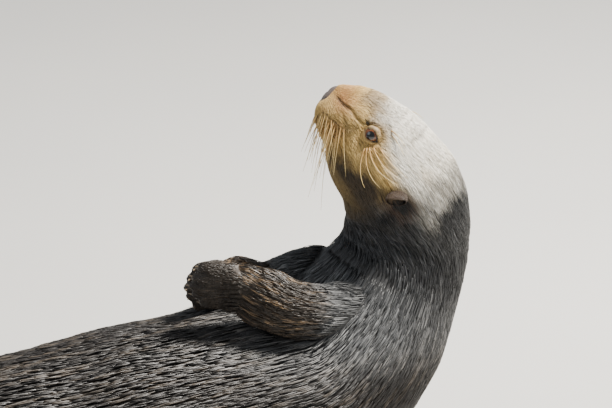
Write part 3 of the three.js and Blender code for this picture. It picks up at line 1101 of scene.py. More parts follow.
def markings(points: Array, limb: Array) -> dict[Marking, Array]:
    """Works out the zones from a point's place on the head and the body alone, so that the skin and the
    coat above it agree. The crown lies above a slanting line from the brow to behind the ear; the face
    lies in front of it and fades down the cheek; the forehead lies between the nose and the crown; the
    ruddy patches lie above and below the nose's side. Soft lumps in space make the edges wander.

    Args:
        points: places in millimetres.
        limb: 1 on the limbs and 0 elsewhere, for each point.

    Returns:
        A share for each zone and point.
    """
    left = one_side(HEAD.local(points))
    behind, above, _ = left.T
    wander = ripple(points, 24.0, 21) * 5.0 + ripple(points, 9.0, 22) * 2.0
    high = smooth(points[:, 2], *HEAD_HEIGHTS)
    bowl, eared, rim = ear_markings(left)
    # The head's zone, whose dark brown on the jaw and the lower cheek is partly painted shade.
    on_head = high * (1 - smooth(behind - 0.3 * above + wander * 0.8, 78, 122))
    crown = smooth(above - (44.0 - 0.257 * behind) + wander * 0.9, -10.0, 7.0)
    crown *= smooth(behind + wander, 20, 42) * (1 - smooth(behind + wander * 2.2, 88, 142))
    crown *= high * smooth(SOCKET.away(left), 9, 19) * (1 - eared)
    low = np.interp(behind, *np.array(FACE_EDGE).T)
    face = smooth(above - low + wander, -14.0, 9.0) * (1 - smooth(behind, 88, 112))
    face = np.maximum(face, 1 - smooth(behind, 20, 46))
    face = np.maximum(face, 0.3 * smooth(-above, 14, 30) * (1 - smooth(behind, 50, 108)))
    # The rim's painted highlight takes half the face's pale colour.
    face = np.maximum(face * (1 - 0.7 * eared), 0.5 * rim)
    forehead = smooth(above + wander * 0.6, 22, 32) * smooth(behind, 8, 22) * (1 - smooth(behind, 52, 66))
    ruddy = bell(behind - 8, 11) * bell(above - 16, 8)
    below = 0.75 * bell(behind - 16, 12) * bell(above + 2, 9) * smooth(wander, -3, 5)
    spot, bare = dark_markings(left, bowl, 0.8 * eared * (1 - 0.6 * rim))
    chest, neck = body_markings(points)
    shares = {
        Marking.CHEST_AND_SHEEN: chest,
        Marking.NECK: neck,
        Marking.HEAD: on_head,
        Marking.FACE: face * on_head,
        Marking.FOREHEAD: forehead * on_head,
        Marking.RUDDY: np.maximum(ruddy, below) * high,
        Marking.CROWN: crown,
        Marking.SPOT: spot * high,
        Marking.BARE_AND_BOWL_SHADE: bare * high,
    }
    return {zone: share * (1 - limb) for zone, share in shares.items()} | {Marking.LIMB: limb}


# ---- Shader building --------------------------------------------------------------------------


def linear(red: int, green: int, blue: int) -> tuple[float, float, float, float]:
    """Returns a screen colour, 0 to 255 in each channel, as the linear colour that nodes take."""
    parts = [channel / 255 for channel in (red, green, blue)]
    return (*[p / 12.92 if p <= 0.04045 else ((p + 0.055) / 1.055) ** 2.4 for p in parts], 1.0)


def operator(kind: str, swapped: bool = False) -> Callable[["Value", object], "Value"]:
    """Makes an operator of a Value.

    Args:
        kind: the Math node's operation.
        swapped: whether it is a reflected form, whose right side is the Value.

    Returns:
        The method.
    """

    def method(self: "Value", other: object) -> "Value":
        """Adds one Math node and returns its result."""
        first, second = (other, self) if swapped else (self, other)
        return self.web.node("ShaderNodeMath", {"operation": kind}, {0: first, 1: second})

    return method


class Value:
    """A node's output, with the operators that add, subtract and multiply, and their reflected forms."""

    def __init__(self, web: "Web", socket: bpy.types.NodeSocket) -> None:
        """Keeps the socket and the tree that it belongs to."""
        self.web = web
        self.socket = socket

    __add__ = operator("ADD")
    __radd__ = operator("ADD", swapped=True)
    __sub__ = operator("SUBTRACT")
    __rsub__ = operator("SUBTRACT", swapped=True)
    __mul__ = operator("MULTIPLY")
    __rmul__ = operator("MULTIPLY", swapped=True)

    def clamped(self) -> "Value":
        """Returns it held between 0 and 1."""
        settings = {"operation": "ADD", "use_clamp": True}
        return self.web.node("ShaderNodeMath", settings, {0: self, 1: 0.0})

    def rise(self, low: float, high: float) -> "Value":
        """Returns 0 below low, 1 above high, and a smooth rise between."""
        settings = {"interpolation_type": "SMOOTHSTEP"}
        return self.web.node("ShaderNodeMapRange", settings, {0: self, 1: low, 2: high, 3: 0.0, 4: 1.0})


class Web:
    """A material's node tree, with one method that adds any node."""

    def __init__(self, name: str) -> None:
        """Makes a material with an empty tree."""
        self.material = bpy.data.materials.new(name)
        self.material.use_nodes = True
        self.tree = self.material.node_tree
        self.tree.nodes.clear()

    def node(self, kind: str, settings: dict, inputs: dict, output: object = 0) -> Value:
        """Adds a node: its settings first, then its sockets' values and links.

        Args:
            kind: the node's type.
            settings: properties of the node.
            inputs: for each socket's name or number, a Value to link or a number or colour to set.
            output: the name or number of the output to return.

        Returns:
            The chosen output.
        """
        made = self.tree.nodes.new(kind)
        for key, value in settings.items():
            setattr(made, key, value)
        for key, value in inputs.items():
            if isinstance(value, Value):
                self.tree.links.new(value.socket, made.inputs[key])
            else:
                made.inputs[key].default_value = value
        return Value(self, made.outputs[output])

    def attribute(self, name: str) -> Value:
        """Returns a number stored on the vertices."""
        return self.node("ShaderNodeAttribute", {"attribute_name": name}, {}, "Fac")

    def stretched(self, place: Value, scale: Row) -> Value:
        """Returns a place multiplied by a scale along each axis."""
        return self.node("ShaderNodeMapping", {"vector_type": "POINT"}, {"Vector": place, "Scale": scale})

    def place(self, scale: Row = (1.0, 1.0, 1.0)) -> Value:
        """Returns the place in the piece's own space, stretched by a scale."""
        return self.stretched(self.node("ShaderNodeTexCoord", {}, {}, "Object"), scale)

    def unwrapped(self, name: str, scale: Row) -> Value:
        """Returns a place on one of the piece's unwraps, stretched by a scale."""
        return self.stretched(self.node("ShaderNodeUVMap", {"uv_map": name}, {}), scale)

    def noise(self, vector: Value, scale: float, detail: float = 3.0, rough: float = 0.5) -> Value:
        """Returns soft noise from 0 to 1."""
        inputs = {"Vector": vector, "Scale": scale, "Detail": detail, "Roughness": rough}
        return self.node("ShaderNodeTexNoise", {}, inputs)

    def cells(self, vector: Value, scale: float) -> Value:
        """Returns the distance to the nearest of scattered points."""
        return self.node("ShaderNodeTexVoronoi", {}, {"Vector": vector, "Scale": scale}, "Distance")

    def blend(self, share: object, first: object, second: object, kind: str = "MIX") -> Value:
        """Returns two colours mixed by a share."""
        settings = {"data_type": "RGBA", "blend_type": kind, "clamp_factor": True}
        return self.node("ShaderNodeMix", settings, {0: share, 6: first, 7: second}, 2)

    def bump(self, height: Value, strength: float, distance: float) -> Value:
        """Returns a normal that a height field tilts."""
        inputs = {"Height": height, "Strength": strength, "Distance": distance}
        return self.node("ShaderNodeBump", {}, inputs)

    def finish(self, inputs: dict) -> Material:
        """Ends the tree in one Principled shader with these inputs, and returns the material."""
        shader = self.node("ShaderNodeBsdfPrincipled", {}, inputs)
        end = self.tree.nodes.new("ShaderNodeOutputMaterial")
        self.tree.links.new(shader.socket, end.inputs["Surface"])
        return self.material


@dataclass(frozen=True)
class FurFinish:
    """Wet and dry fur: the same zones on the skin and on the tufts, each from a dark to a light colour."""

    body: tuple = (linear(21, 18, 17), linear(104, 92, 78))
    # laid one over another in this order
    zones: tuple = (
        # The chest's grey fur, silver where the shoulders' painted highlight lies.
        (Marking.CHEST_AND_SHEEN, (linear(82, 83, 84), linear(196, 196, 194))),
        (Marking.NECK, (linear(15, 15, 16), linear(98, 99, 101))),
        (Marking.LIMB, (linear(6, 5, 5), linear(178, 146, 108))),
        # The head's brown under the pale face: dark on the jaw and the lower cheek, partly the fur's own
        # colour and partly painted shade.
        (Marking.HEAD, (linear(22, 17, 11), linear(78, 64, 44))),
        (Marking.FACE, (linear(138, 100, 50), linear(242, 208, 132))),
        (Marking.FOREHEAD, (linear(104, 84, 58), linear(190, 168, 130))),
        (Marking.RUDDY, (linear(120, 74, 36), linear(208, 156, 92))),
        (Marking.CROWN, (linear(186, 174, 150), linear(255, 252, 243))),
        # Dark spots of the whiskers' roots and the dark fur round the ear, and painted shade along the
        # creases.
        (Marking.SPOT, (linear(52, 34, 22), linear(70, 48, 32))),
        # Bare dark skin of the lids and the eye's corner, and the ear's bowl, dark as bare skin and as
        # painted shade.
        (Marking.BARE_AND_BOWL_SHADE, (linear(13, 11, 11), linear(22, 19, 18))),
    )
    soaked: tuple = (Marking.CHEST_AND_SHEEN, Marking.NECK, Marking.LIMB)

    def colour(self, web: Web, dry: Value, wet: Value) -> Value:
        """Mixes the zones' colours one over another.

        Args:
            web: the tree.
            dry: how far the head's colours stand from their dark to their light ones.
            wet: the same for the body, the neck and the limbs.

        Returns:
            The colour.
        """
        result = web.blend(wet, *self.body)
        for zone, pair in self.zones:
            shade = web.blend(wet if zone in self.soaked else dry, *pair)
            result = web.blend(web.attribute(zone.value), result, shade)
        return result

    def tuft(self) -> Material:
        """Returns the coat's material: on the head a tuft's tone and tip set its colour evenly, and
        elsewhere only some wet locks dry out to a light streak towards the tip."""
        web = Web("fur")
        strands = web.noise(web.unwrapped("Strand", (9.0, 1.2, 1.0)), 1.0, 2.0)
        tone, tip = web.attribute("tone"), web.attribute("tip")
        patches = web.noise(web.place((9.0, 14.0, 14.0)), 1.0, 2.0)
        dry = (tone * 0.6 + tip * 0.4 + strands * 0.3 - 0.12).clamped()
        streak = (tone * 0.9 + strands * 0.2 + patches * 0.4).rise(0.78, 1.14)
        wet = (streak * (tip * tip * 0.8 + 0.2) + strands * 0.1).clamped()
        colour = self.colour(web, dry, wet)
        gloss = (1 - web.attribute(Marking.HEAD.value)) * (1 - web.attribute(Marking.CROWN.value) * 0.8)
        inputs = {
            "Base Color": colour,
            "Roughness": 0.56 - gloss * 0.16 + strands * 0.1,
            "Normal": web.bump(strands, 0.35, 0.0006),
            "Coat Weight": gloss * 0.2,
            "Coat Roughness": 0.25,
            "IOR": 1.5,
        }
        return web.finish(inputs)

    def skin(self) -> Material:
        """Returns the skin's material: the same zones as a darker copy, painted shade where the skin shows
        between the tufts, with a fine nap.
        """
        web = Web("skin_fur")
        nap = web.noise(web.place((260.0, 260.0, 90.0)), 1.0, 3.0, 0.6)
        patches = web.noise(web.place((34.0, 34.0, 34.0)), 1.0, 3.0)
        light = (nap * 0.5 + patches * 0.4 - 0.1).clamped()
        colour = self.colour(web, light, (light * 0.3).clamped())
        # Painted shade: the skin between the tufts is a darker copy of the coat's colours.
        colour = web.blend(1.0, colour, (0.78, 0.76, 0.74, 1.0), "MULTIPLY")
        normal = web.bump(nap, 0.5, 0.0012)
        return web.finish({"Base Color": colour, "Roughness": 0.45 + nap * 0.2, "Normal": normal})


@dataclass(frozen=True)
class NoseFinish:
    """Bare wet skin of the nose: dark, pebbled and moist."""

    dark: tuple = linear(40, 34, 32)
    light: tuple = linear(104, 90, 82)

    def material(self) -> Material:
        """Returns the material."""
        web = Web("nose_leather")
        pebbles = web.cells(web.place(), 900.0)
        broad = web.noise(web.place(), 120.0, 4.0)
        colour = web.blend(broad * 0.7 + pebbles * 0.3, self.dark, self.light)
        normal = web.bump(pebbles, 0.45, 0.0005)
        inputs = {"Base Color": colour, "Roughness": 0.36 + broad * 0.2, "Normal": normal}
        return web.finish(inputs | {"Coat Weight": 0.4, "Coat Roughness": 0.2})


@dataclass(frozen=True)
class EyeFinish:
    """A wet dark eye: black pupil, brown iris with rays, dark rim."""

    pupil: tuple = linear(5, 4, 4)
    iris_dark: tuple = linear(44, 22, 12)
    iris_light: tuple = linear(136, 76, 36)
    white: tuple = linear(34, 24, 20)

    def material(self) -> Material:
        """Returns the material, by the angle from the gaze that is stored on the vertices."""
        web = Web("eye")
        angle = web.attribute("angle")
        rays = web.noise(web.unwrapped("OFBake", (60.0, 2.0, 1.0)), 1.0, 3.0)
        iris = web.blend(rays, self.iris_dark, self.iris_light)
        colour = web.blend(angle.rise(0.13, 0.17), self.pupil, iris)
        colour = web.blend(angle.rise(0.3, 0.36), colour, self.white)
        inputs = {"Base Color": colour, "Roughness": 0.05, "Coat Weight": 1.0, "Coat Roughness": 0.02}
        return web.finish(inputs | {"IOR": 1.38})


@dataclass(frozen=True)
class ClawFinish:
    """Horn: dark brown, paler at the tip, with fine lengthwise lines."""

    base: tuple = linear(52, 42, 34)
    tip: tuple = linear(122, 106, 86)

    def material(self) -> Material:
        """Returns the material."""
        web = Web("claw_horn")
        lines = web.noise(web.unwrapped("OFBake", (40.0, 3.0, 1.0)), 1.0, 3.0)
        colour = web.blend((web.attribute("tip") * 0.8 + lines * 0.3).clamped(), self.base, self.tip)
        normal = web.bump(lines, 0.3, 0.0003)
        return web.finish({"Base Color": colour, "Roughness": 0.3 + lines * 0.15, "Normal": normal})


@dataclass(frozen=True)
class WhiskerFinish:
    """Stiff pale whiskers, amber at the root."""

    root: tuple = linear(176, 128, 66)
    tip: tuple = linear(236, 208, 146)

    def material(self) -> Material:
        """Returns the material."""
        web = Web("whisker")
        flecks = web.noise(web.place(), 300.0, 2.0)
        colour = web.blend((web.attribute("tip") * 1.2 + flecks * 0.4 - 0.1).clamped(), self.root, self.tip)
        return web.finish({"Base Color": colour, "Roughness": 0.3 + flecks * 0.1})


@dataclass(frozen=True)
class FloorFinish:
    """Matte pale paper."""

    shade: tuple = linear(214, 212, 207)
    fleck: tuple = linear(206, 204, 199)

    def material(self) -> Material:
        """Returns the material."""
        web = Web("floor_paper")
        colour = web.blend(web.noise(web.place(), 3.0, 4.0), self.shade, self.fleck)
        return web.finish({"Base Color": colour, "Roughness": 0.85})


# ---- The pieces -------------------------------------------------------------------------------


def dress(piece: Object, material: Material) -> Object:
    """Gives a piece its material and its body, and reports it."""
    piece.data.materials.clear()
    piece.data.materials.append(material)
    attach(piece, "root")
    piece.data.calc_loop_triangles()
    LOG.info("%s: %d triangles", piece.name, len(piece.data.loop_triangles))
    return piece


@dataclass
class Animal:
    """Every surface of the body, under its node's name."""

    trunk: Trunk = field(default_factory=Trunk)
    limbs: dict[str, Limb] = field(default_factory=lambda: {n: Limb(t) for n, t in LIMBS.items()})
    paws: dict[str, Paw] = field(default_factory=lambda: {n: Paw(t) for n, t in PAWS.items()})
    ears: dict[str, Ear] = field(default_factory=lambda: {"ear_left": Ear(1.0), "ear_right": Ear(-1.0)})


def paw_share(paw: Paw, points: Array) -> Array:
    """Returns 1 for the places from a little before a paw's root on and near its fan, and 0 elsewhere."""
    away = points - np.array(paw.table.root)
    forward = dot(away, paw.along)
    reach = max(paw.table.reach) + 8
    near = (np.abs(dot(away, paw.across)) < max(paw.table.width) + 6) & (np.abs(dot(away, paw.flat)) < 32)
    return ((forward > -12) & (forward < reach) & near).astype(float)


@dataclass
class Skin:
    """One closed skin: trunk, limbs, paws and ears joined, with the joints smoothed."""

    animal: Animal
    around: int = 184
    eye_lines: Row = (0.58, 0.92)
    relax_rounds: int = 30
    replaced: tuple = ("tail", "rump", "belly", "chest", "neck", "head")
    rows: dict = field(
        default_factory=lambda: {
            0.0: 3.0,
            0.06: 6.0,
            0.42: 6.0,
            STATIONS["neck_base"]: 3.6,
            STATIONS["nape"]: 2.2,
            STATIONS["cheeks"]: 1.6,
            STATIONS["temples"]: 1.2,
            STATIONS["eyes"]: 0.8,
            STATIONS["brow"]: 1.1,
            1.0: 1.0,
        }
    )

    def columns(self) -> Array:
        """Returns the shares of v, closer together along the two lines of the eyes."""
        fine = np.linspace(0, 1, 4000)
        density = 1 + sum(1.8 * bell(fine - eye, 0.045) for eye in self.eye_lines)
        count = np.concatenate([[0], np.cumsum((density[1:] + density[:-1]) / 2)])
        return np.interp(np.arange(self.around) / self.around * count[-1], count, fine)

    def parts(self) -> list[Object]:
        """Builds the closed shells, the trunk first."""
        animal = self.animal
        along = spaced(self.rows, animal.trunk)
        made = [surface_shell(animal.trunk, along, self.columns(), (0.0, 0.0, 0.6, 1.0)).build("skin")]
        for place, (name, limb) in enumerate(animal.limbs.items()):
            box = (0.62, place * 0.12, 0.18, 0.11)
            shell = surface_shell(limb, np.linspace(0, 1, 44), np.arange(44) / 44, box)
            made.append(shell.build(name + "_shell"))
        for place, (name, paw) in enumerate(animal.paws.items()):
            rows, columns = (60, 116) if name.startswith("flipper") else (34, 76)
            u = np.sin(np.linspace(0, 1, rows) * np.pi / 2)
            v = (np.arange(columns) + 0.5) / columns
            box = (0.82, place * 0.12, 0.17, 0.11)
            made.append(surface_shell(paw, u, v, box, zipped=True).build(name + "_shell"))
        for place, (name, ear) in enumerate(animal.ears.items()):
            u = np.linspace(0, 1, 34)
            box = (0.62 + place * 0.18, 0.6, 0.17, 0.11)
            made.append(surface_shell(ear, u, np.arange(40) / 40, box).build(name + "_shell"))
        return made

    def join(self, parts: list[Object]) -> Object:
        """Joins the shells into one closed mesh with a Boolean union.

        Args:
            parts: the shells, the trunk first.

        Returns:
            The trunk's object with the joined mesh.
        """
        skin, others = parts[0], parts[1:]
        for other in others:
            cutter = skin.modifiers.new(other.name, "BOOLEAN")
            cutter.operation = "UNION"
            cutter.solver = "MANIFOLD"
            cutter.object = other
        graph = bpy.context.evaluated_depsgraph_get()
        joined = bpy.data.meshes.new_from_object(skin.evaluated_get(graph))
        skin.modifiers.clear()
        skin.data = joined
        for other in others:
            bpy.data.objects.remove(other)
        return skin

    def relax(self, skin: Object) -> None:
        """Smooths the mesh where a limb leaves the trunk and where a paw leaves its limb: each point
        moves towards the mean of its neighbours, most on the joint and not at all away from it.

        Args:
            skin: the joined skin.
        """
        mesh = skin.data
        points = places(mesh)
        edges = np.empty(len(mesh.edges) * 2, np.int32)
        mesh.edges.foreach_get("vertices", edges)
        start, end = edges.reshape(-1, 2).T
        near = np.zeros(len(points))
        for limb in self.animal.limbs.values():
            around = limb.holds(points, -7.0) & ~limb.holds(points, 3.0)
            around &= self.animal.trunk.holds(points, -7.0)
            near = np.maximum(near, around)
        for paw in self.animal.paws.values():
            away = np.linalg.norm(points - np.array(paw.table.root), axis=1)
            near = np.maximum(near, 1 - smooth(away, 22, 38))
        one, other = np.concatenate([start, end]), np.concatenate([end, start])
        count = column(np.maximum(np.bincount(one, minlength=len(points)), 1))
        for _ in range(self.relax_rounds):
            total = [np.bincount(one, points[other, axis], len(points)) for axis in range(3)]
            mean = np.stack(total, axis=1) / count
            points = points + (mean - points) * column(near * 0.6)
        mesh.vertices.foreach_set("co", np.ascontiguousarray(points * MM, np.float32).ravel())
        mesh.update()

    def build(self, finish: FurFinish) -> Object:
        """Builds the skin, stores its markings and lets it stand for the flesh nodes."""
        skin = self.join(self.parts())
        self.relax(skin)
        mesh = skin.data
        points = places(mesh)
        mesh.polygons.foreach_set("use_smooth", np.ones(len(mesh.polygons), bool))
        claims = [limb.claims(points) for limb in self.animal.limbs.values()]
        claims += [paw_share(paw, points) for paw in self.animal.paws.values()]
        for zone, values in markings(points, np.max(claims, axis=0)).items():
            set_values(skin, zone.value, values)
        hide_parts(*self.replaced, *LIMBS, *PAWS, "ear_left", "ear_right")
        return dress(skin, finish.skin())


@dataclass(frozen=True)
class CoatPart:
    """One piece of the coat: how many tufts grow on which stretch of which surfaces, the length and width
    of its locks, how far a tuft is pulled to its lock's middle, how far it sways, and its random seed."""

    name: str
    surfaces: tuple[str, ...]
    count: int
    span: Row
    slot: str
    clump: Row
    pull: float
    sway: float
    seed: int


# Multiples of these two steps, less their whole parts, fill a square evenly.
EVEN_STEPS = np.array([0.7548776662466927, 0.5698402909980532])
# One tuft: 8 vertices, a point at the root, two rings of three and a point at the tip. The shares say
# how far along the tuft its spine's places and its vertices lie.
RINGS = ((1, 2, 3), (4, 5, 6))
TUFT_SHARES = np.array([0.0, 0.34, 0.7, 1.0])
RING_WIDTHS = (1.0, 0.78)
TUFT_TIPS = np.array([0.0, 0.34, 0.34, 0.34, 0.7, 0.7, 0.7, 1.0])


def tuft_faces() -> tuple[Array, Array, Array]:
    """Lists one tuft's faces: on each of its three sides a triangle at the root, a quad and a triangle
    at the tip, with a place across and along the tuft for each corner.

    Returns:
        The corners' vertex numbers, the faces' sizes, and the corners' flat places.
    """
    corners, sizes, flat = [], [], []
    for side in range(3):
        a, b = side, (side + 1) % 3
        left, middle, right = side / 3, (side + 0.5) / 3, (side + 1) / 3
        corners += [0, RINGS[0][b], RINGS[0][a]]
        flat += [(middle, 0.0), (right, 0.34), (left, 0.34)]
        corners += [RINGS[0][a], RINGS[0][b], RINGS[1][b], RINGS[1][a]]
        flat += [(left, 0.34), (right, 0.34), (right, 0.7), (left, 0.7)]
        corners += [RINGS[1][a], RINGS[1][b], 7]
        flat += [(left, 0.7), (right, 0.7), (middle, 1.0)]
        sizes += [3, 4, 3]
    return np.array(corners), np.array(sizes), np.array(flat)


@dataclass
class Tufts:
    """Tufts worked out on one surface: places, markings, tones and roots on the unwrap."""

    points: Array
    tone: Array
    zones: dict[Marking, Array]
    root: Array


@dataclass
class Coat:
    """The coat: tapered tufts that rise from the skin and lie along it, gathered into wet locks.

    A tuft is dropped where its root would have to move too far to reach the skin, or where it would be
    too many times its own length. Its root lies under the skin, and no tuft reaches under the floor.
    """

    animal: Animal
    skin: Object
    floor_gap: float = 0.3
    rooted: float = 0.7
    farthest_shift: float = 14.0
    longest: float = 1.6
    paw_tone: float = 0.22

    def scatter(self, surface: Surface, part: CoatPart, count: int, rng: np.random.Generator) -> Array:
        """Spreads roots evenly over a stretch of a surface, closer where the tufts are narrower: the
        area of each cell of a grid over its tufts' width squared is its share, and an even sequence of
        two numbers picks a row by the sum of its shares and then a place in the row.

        Args:
            surface: the shape.
            part: the coat's part.
            count: how many roots.
            rng: the random source.

        Returns:
            u and v of each root.
        """
        rows, columns = 240, 96
        u = part.span[0] + (part.span[1] - part.span[0]) * (np.arange(rows) + 0.5) / rows
        v = (np.arange(columns) + 0.5) / columns
        uu, vv = pairs(u, v)
        along, around = surface.slopes(uu, vv)
        area = np.linalg.norm(np.cross(along, around), axis=1)
        share = (area / surface.coat(uu)[:, 2] ** 2).reshape(rows, columns)
        total = np.cumsum(share.ravel())
        row_end = np.cumsum(share.sum(axis=1))
        order = np.arange(count)
        even = (0.5 + order * column(EVEN_STEPS)) % 1
        even = (even + rng.normal(0, 0.35 / math.sqrt(count), even.shape)) % 1
        row_place = np.interp(even[0] * row_end[-1], np.append(0, row_end), np.arange(rows + 1))
        row = np.minimum(row_place.astype(int), rows - 1)
        before = np.where(row > 0, row_end[row - 1], 0.0)
        target = before + even[1] * (row_end[row] - before)
        cell = np.minimum(np.searchsorted(total, target), len(total) - 1)
        inside = (target - (total[cell] - share.ravel()[cell])) / share.ravel()[cell]
        where_u = part.span[0] + (part.span[1] - part.span[0]) * row_place / rows
        return np.stack([where_u, (cell % columns + np.clip(inside, 0, 1)) / columns])

    def locks(self, surface: Surface, part: CoatPart, u: Array, v: Array) -> tuple[Array, Array, Array]:
        """Gathers roots into locks: bands across the surface, each cut into cells, with the cells of one
        band set off from those of the next.

        Args:
            surface: the shape.
            part: the coat's part.
            u: the roots' shares along.
            v: the roots' shares round.

        Returns:
            Each root's distance round to its lock's middle, the lock's tone, and how near the middle it is.
        """
        table = np.random.default_rng(part.seed + 77).uniform(size=(4, 8191))
        fine = np.linspace(0, 1, 400)
        uu, vv = pairs(fine, np.arange(48) / 48)
        grid = surface.point(uu, vv, 0 * uu).reshape(400, 48, 3)
        length = np.append(0, np.cumsum(np.linalg.norm(np.diff(grid, axis=0), axis=2).mean(axis=1)))
        girth = np.linalg.norm(grid - np.roll(grid, 1, axis=1), axis=2).sum(axis=1)
        size = surface.coat(fine)
        scale = size[:, 2] / size[:, 2].max()
        bands = np.append(0, np.cumsum(np.diff(length) / (part.clump[0] * scale[1:])))
        jitter = table[0][(v * 37).astype(int) % 8191] * 0.9
        band = np.floor(np.interp(u, fine, bands) + jitter).astype(int)
        band_u = np.interp(band + 0.5, bands, fine)
        around = np.maximum(4, np.interp(band_u, fine, girth / (part.clump[1] * scale)).round())
        shift = table[1][band * 7 % 8191]
        cell = np.floor(v * around + shift)
        key = (band * 131 + cell.astype(int) * 17) % 8191
        middle = (cell + 0.5 + (table[2][key] - 0.5) * 0.5 - shift) / around
        away = middle - v
        near = 1 - np.clip(np.abs(away) * around * 2, 0, 1)
        return away, table[3][key], near

    def bald(self, points: Array) -> Array:
        """Tells which places carry no hair: the eyes' slits and the nose."""
        left = one_side(HEAD.local(points))
        slit = (SOCKET.slit(left) < 1.35) & (SOCKET.away(left) < SOCKET.lid_reach)
        return (slit | NosePad().covers(left)) & (points[:, 2] > HEAD_HEIGHTS[0] - 2)

    def buried(self, name: str, points: Array) -> Array:
        """Tells which places of a surface lie inside another one."""
        if name == "trunk":
            return np.any([limb.holds(points, 1.0) for limb in self.animal.limbs.values()], axis=0)
        inside = self.animal.trunk.holds(points, 1.0)
        if name in self.animal.paws:
            paw = self.animal.paws[name]
            inside |= dot(points - np.array(paw.table.root), paw.along) < -3
        return inside

    def settle(self, roots: Array) -> Array:
        """Returns how far each root must move to lie on the joined skin, by a Shrinkwrap modifier."""
        mesh = bpy.data.meshes.new("roots")
        mesh.from_pydata(roots * MM, [], [])
        cloud = bpy.data.objects.new("roots", mesh)
        bpy.context.scene.collection.objects.link(cloud)
        wrap = cloud.modifiers.new("wrap", "SHRINKWRAP")
        wrap.wrap_method = "NEAREST_SURFACEPOINT"
        wrap.target = self.skin
        graph = bpy.context.evaluated_depsgraph_get()
        settled = places(cloud.evaluated_get(graph).data)
        bpy.data.objects.remove(cloud)
        return settled - roots

    def grow(self, name: str, surface: Surface, part: CoatPart, count: int) -> Tufts:
        """Grows tufts on a surface: each follows the surface from its root along the lie of the coat,
        turned by soft waves and drawn to its lock's middle, rises to the coat's depth, and is widest at
        a third of its length.

        Args:
            name: the surface's name.
            surface: the shape.
            part: the coat's part.
            count: how many tufts are tried.

        Returns:
            The tufts that grow on bare skin.
        """
        rng = np.random.default_rng(part.seed * 97 + len(name))
        u, v = self.scatter(surface, part, count, rng)
        root = surface.point(u, v, np.zeros(count))
        keep = ~(self.bald(root) | self.buried(name, root))
        u, v, root = u[keep], v[keep], root[keep]
        shift = self.settle(root)
        depth, length, width = surface.coat(u).T
        along, around = surface.slopes(u, v)
        away, lock_tone, near = self.locks(surface, part, u, v)
        number = len(u)
        length = length * rng.uniform(0.75, 1.25, number) * self.shorter(root)
        width = width * rng.uniform(0.75, 1.3, number)
        angle = part.sway * (ripple(root, 60.0, 41) + rng.normal(0, 0.5, number))
        du = surface.flow * np.cos(angle) * length / np.linalg.norm(along, axis=1)
        dv = np.sin(angle) * length / np.maximum(np.linalg.norm(around, axis=1), 20.0)
        dv = mix(dv, away, np.clip(part.pull * rng.uniform(0.6, 1.2, number), 0, 0.95))
        lift = depth * rng.uniform(0.8, 1.05, number) * (0.8 + 0.3 * near)
        tip_lift = lift * rng.uniform(0.3, 0.85, number)
        heights = np.stack([0 * lift - self.rooted, lift * 0.5, lift * 0.75, tip_lift])
        spine, points = self.laid(surface, (u, v, du, dv), heights, width)
        points += shift[:, None]
        points[:, :, 2] = np.maximum(points[:, :, 2], self.floor_gap)
        good = ~(self.bald(spine[3]) | self.bald(spine[2]))
        good &= np.linalg.norm(shift, axis=1) < self.farthest_shift
        good &= np.linalg.norm(spine[3] - spine[0], axis=1) < self.longest * length
        tone = np.clip(0.62 * lock_tone + 0.38 * rng.uniform(size=number), 0, 1)
        if name in PAWS:
            tone = tone * self.paw_tone
        limb = surface.claims(root) if name in LIMBS else np.full(number, float(name in PAWS))
        zones = {zone: values[good] for zone, values in markings(root, limb).items()}
        return Tufts(points[good], tone[good], zones, np.stack([v, u], axis=1)[good])

    @staticmethod
    def laid(surface: Surface, run: tuple, heights: Array, width: Array) -> tuple[list[Array], Array]:
        """Lays tufts along a surface: four places make the spine, and each of the two in the middle
        carries a flat ring of three points, square to the spine and to the way out of the skin.

        Args:
            surface: the shape.
            run: the roots' u and v, and how far the tufts run in u and in v.
            heights: the spine's four heights above the skin.
            width: the tufts' widths.

        Returns:
            The spine's four places, and the eight vertices of each tuft.
        """
        u, v, du, dv = run
        shares = TUFT_SHARES[:, None] + np.zeros(len(u))
        curl = shares * (1.0 + 0.15 * np.sin(3.0 * shares))
        spine = [surface.point(u + du * s, v + dv * c, h) for s, c, h in zip(shares, curl, heights)]
        points = np.empty((len(u), 8, 3))
        points[:, 0], points[:, 7] = spine[0], spine[3]
        for k, (ring, share) in enumerate(zip(RINGS, RING_WIDTHS), 1):
            above = surface.point(u + du * shares[k], v + dv * curl[k], heights[k] + 1)
            forward = unit(spine[k + 1] - spine[k - 1])
            side = unit(np.cross(forward, above - spine[k]))
            half = column(width * share / 2)
            up = np.cross(side, forward) * half
            points[:, ring[0]] = spine[k] - side * half - up * 0.25
            points[:, ring[1]] = spine[k] + up * 0.55
            points[:, ring[2]] = spine[k] + side * half - up * 0.25
        return spine, points

    def shorter(self, points: Array) -> Array:
        """Returns how much shorter the hair is: down to a third around the eyes."""
        away = np.linalg.norm(one_side(HEAD.local(points)) - np.array([46.0, 24.0, 36.0]), axis=1)
        return 0.36 + 0.64 * smooth(away, 8.0, 20.0)

    def surface(self, name: str) -> Surface:
        """Returns a surface by its name."""
        animal = self.animal
        return {"trunk": animal.trunk, **animal.limbs, **animal.paws, **animal.ears}[name]

    def area_shares(self, part: CoatPart) -> Array:
        """Returns how a part's tufts are shared out among its surfaces, by area over width squared."""
        shares = []
        for name in part.surfaces:
            surface = self.surface(name)
            vv, uu = pairs(np.arange(24) / 24, np.linspace(0.01, 0.99, 30))
            along, around = surface.slopes(uu, vv)
            area = np.linalg.norm(np.cross(along, around), axis=1)
            shares.append(np.sum(area / surface.coat(uu)[:, 2] ** 2))
        return np.array(shares) / np.sum(shares)

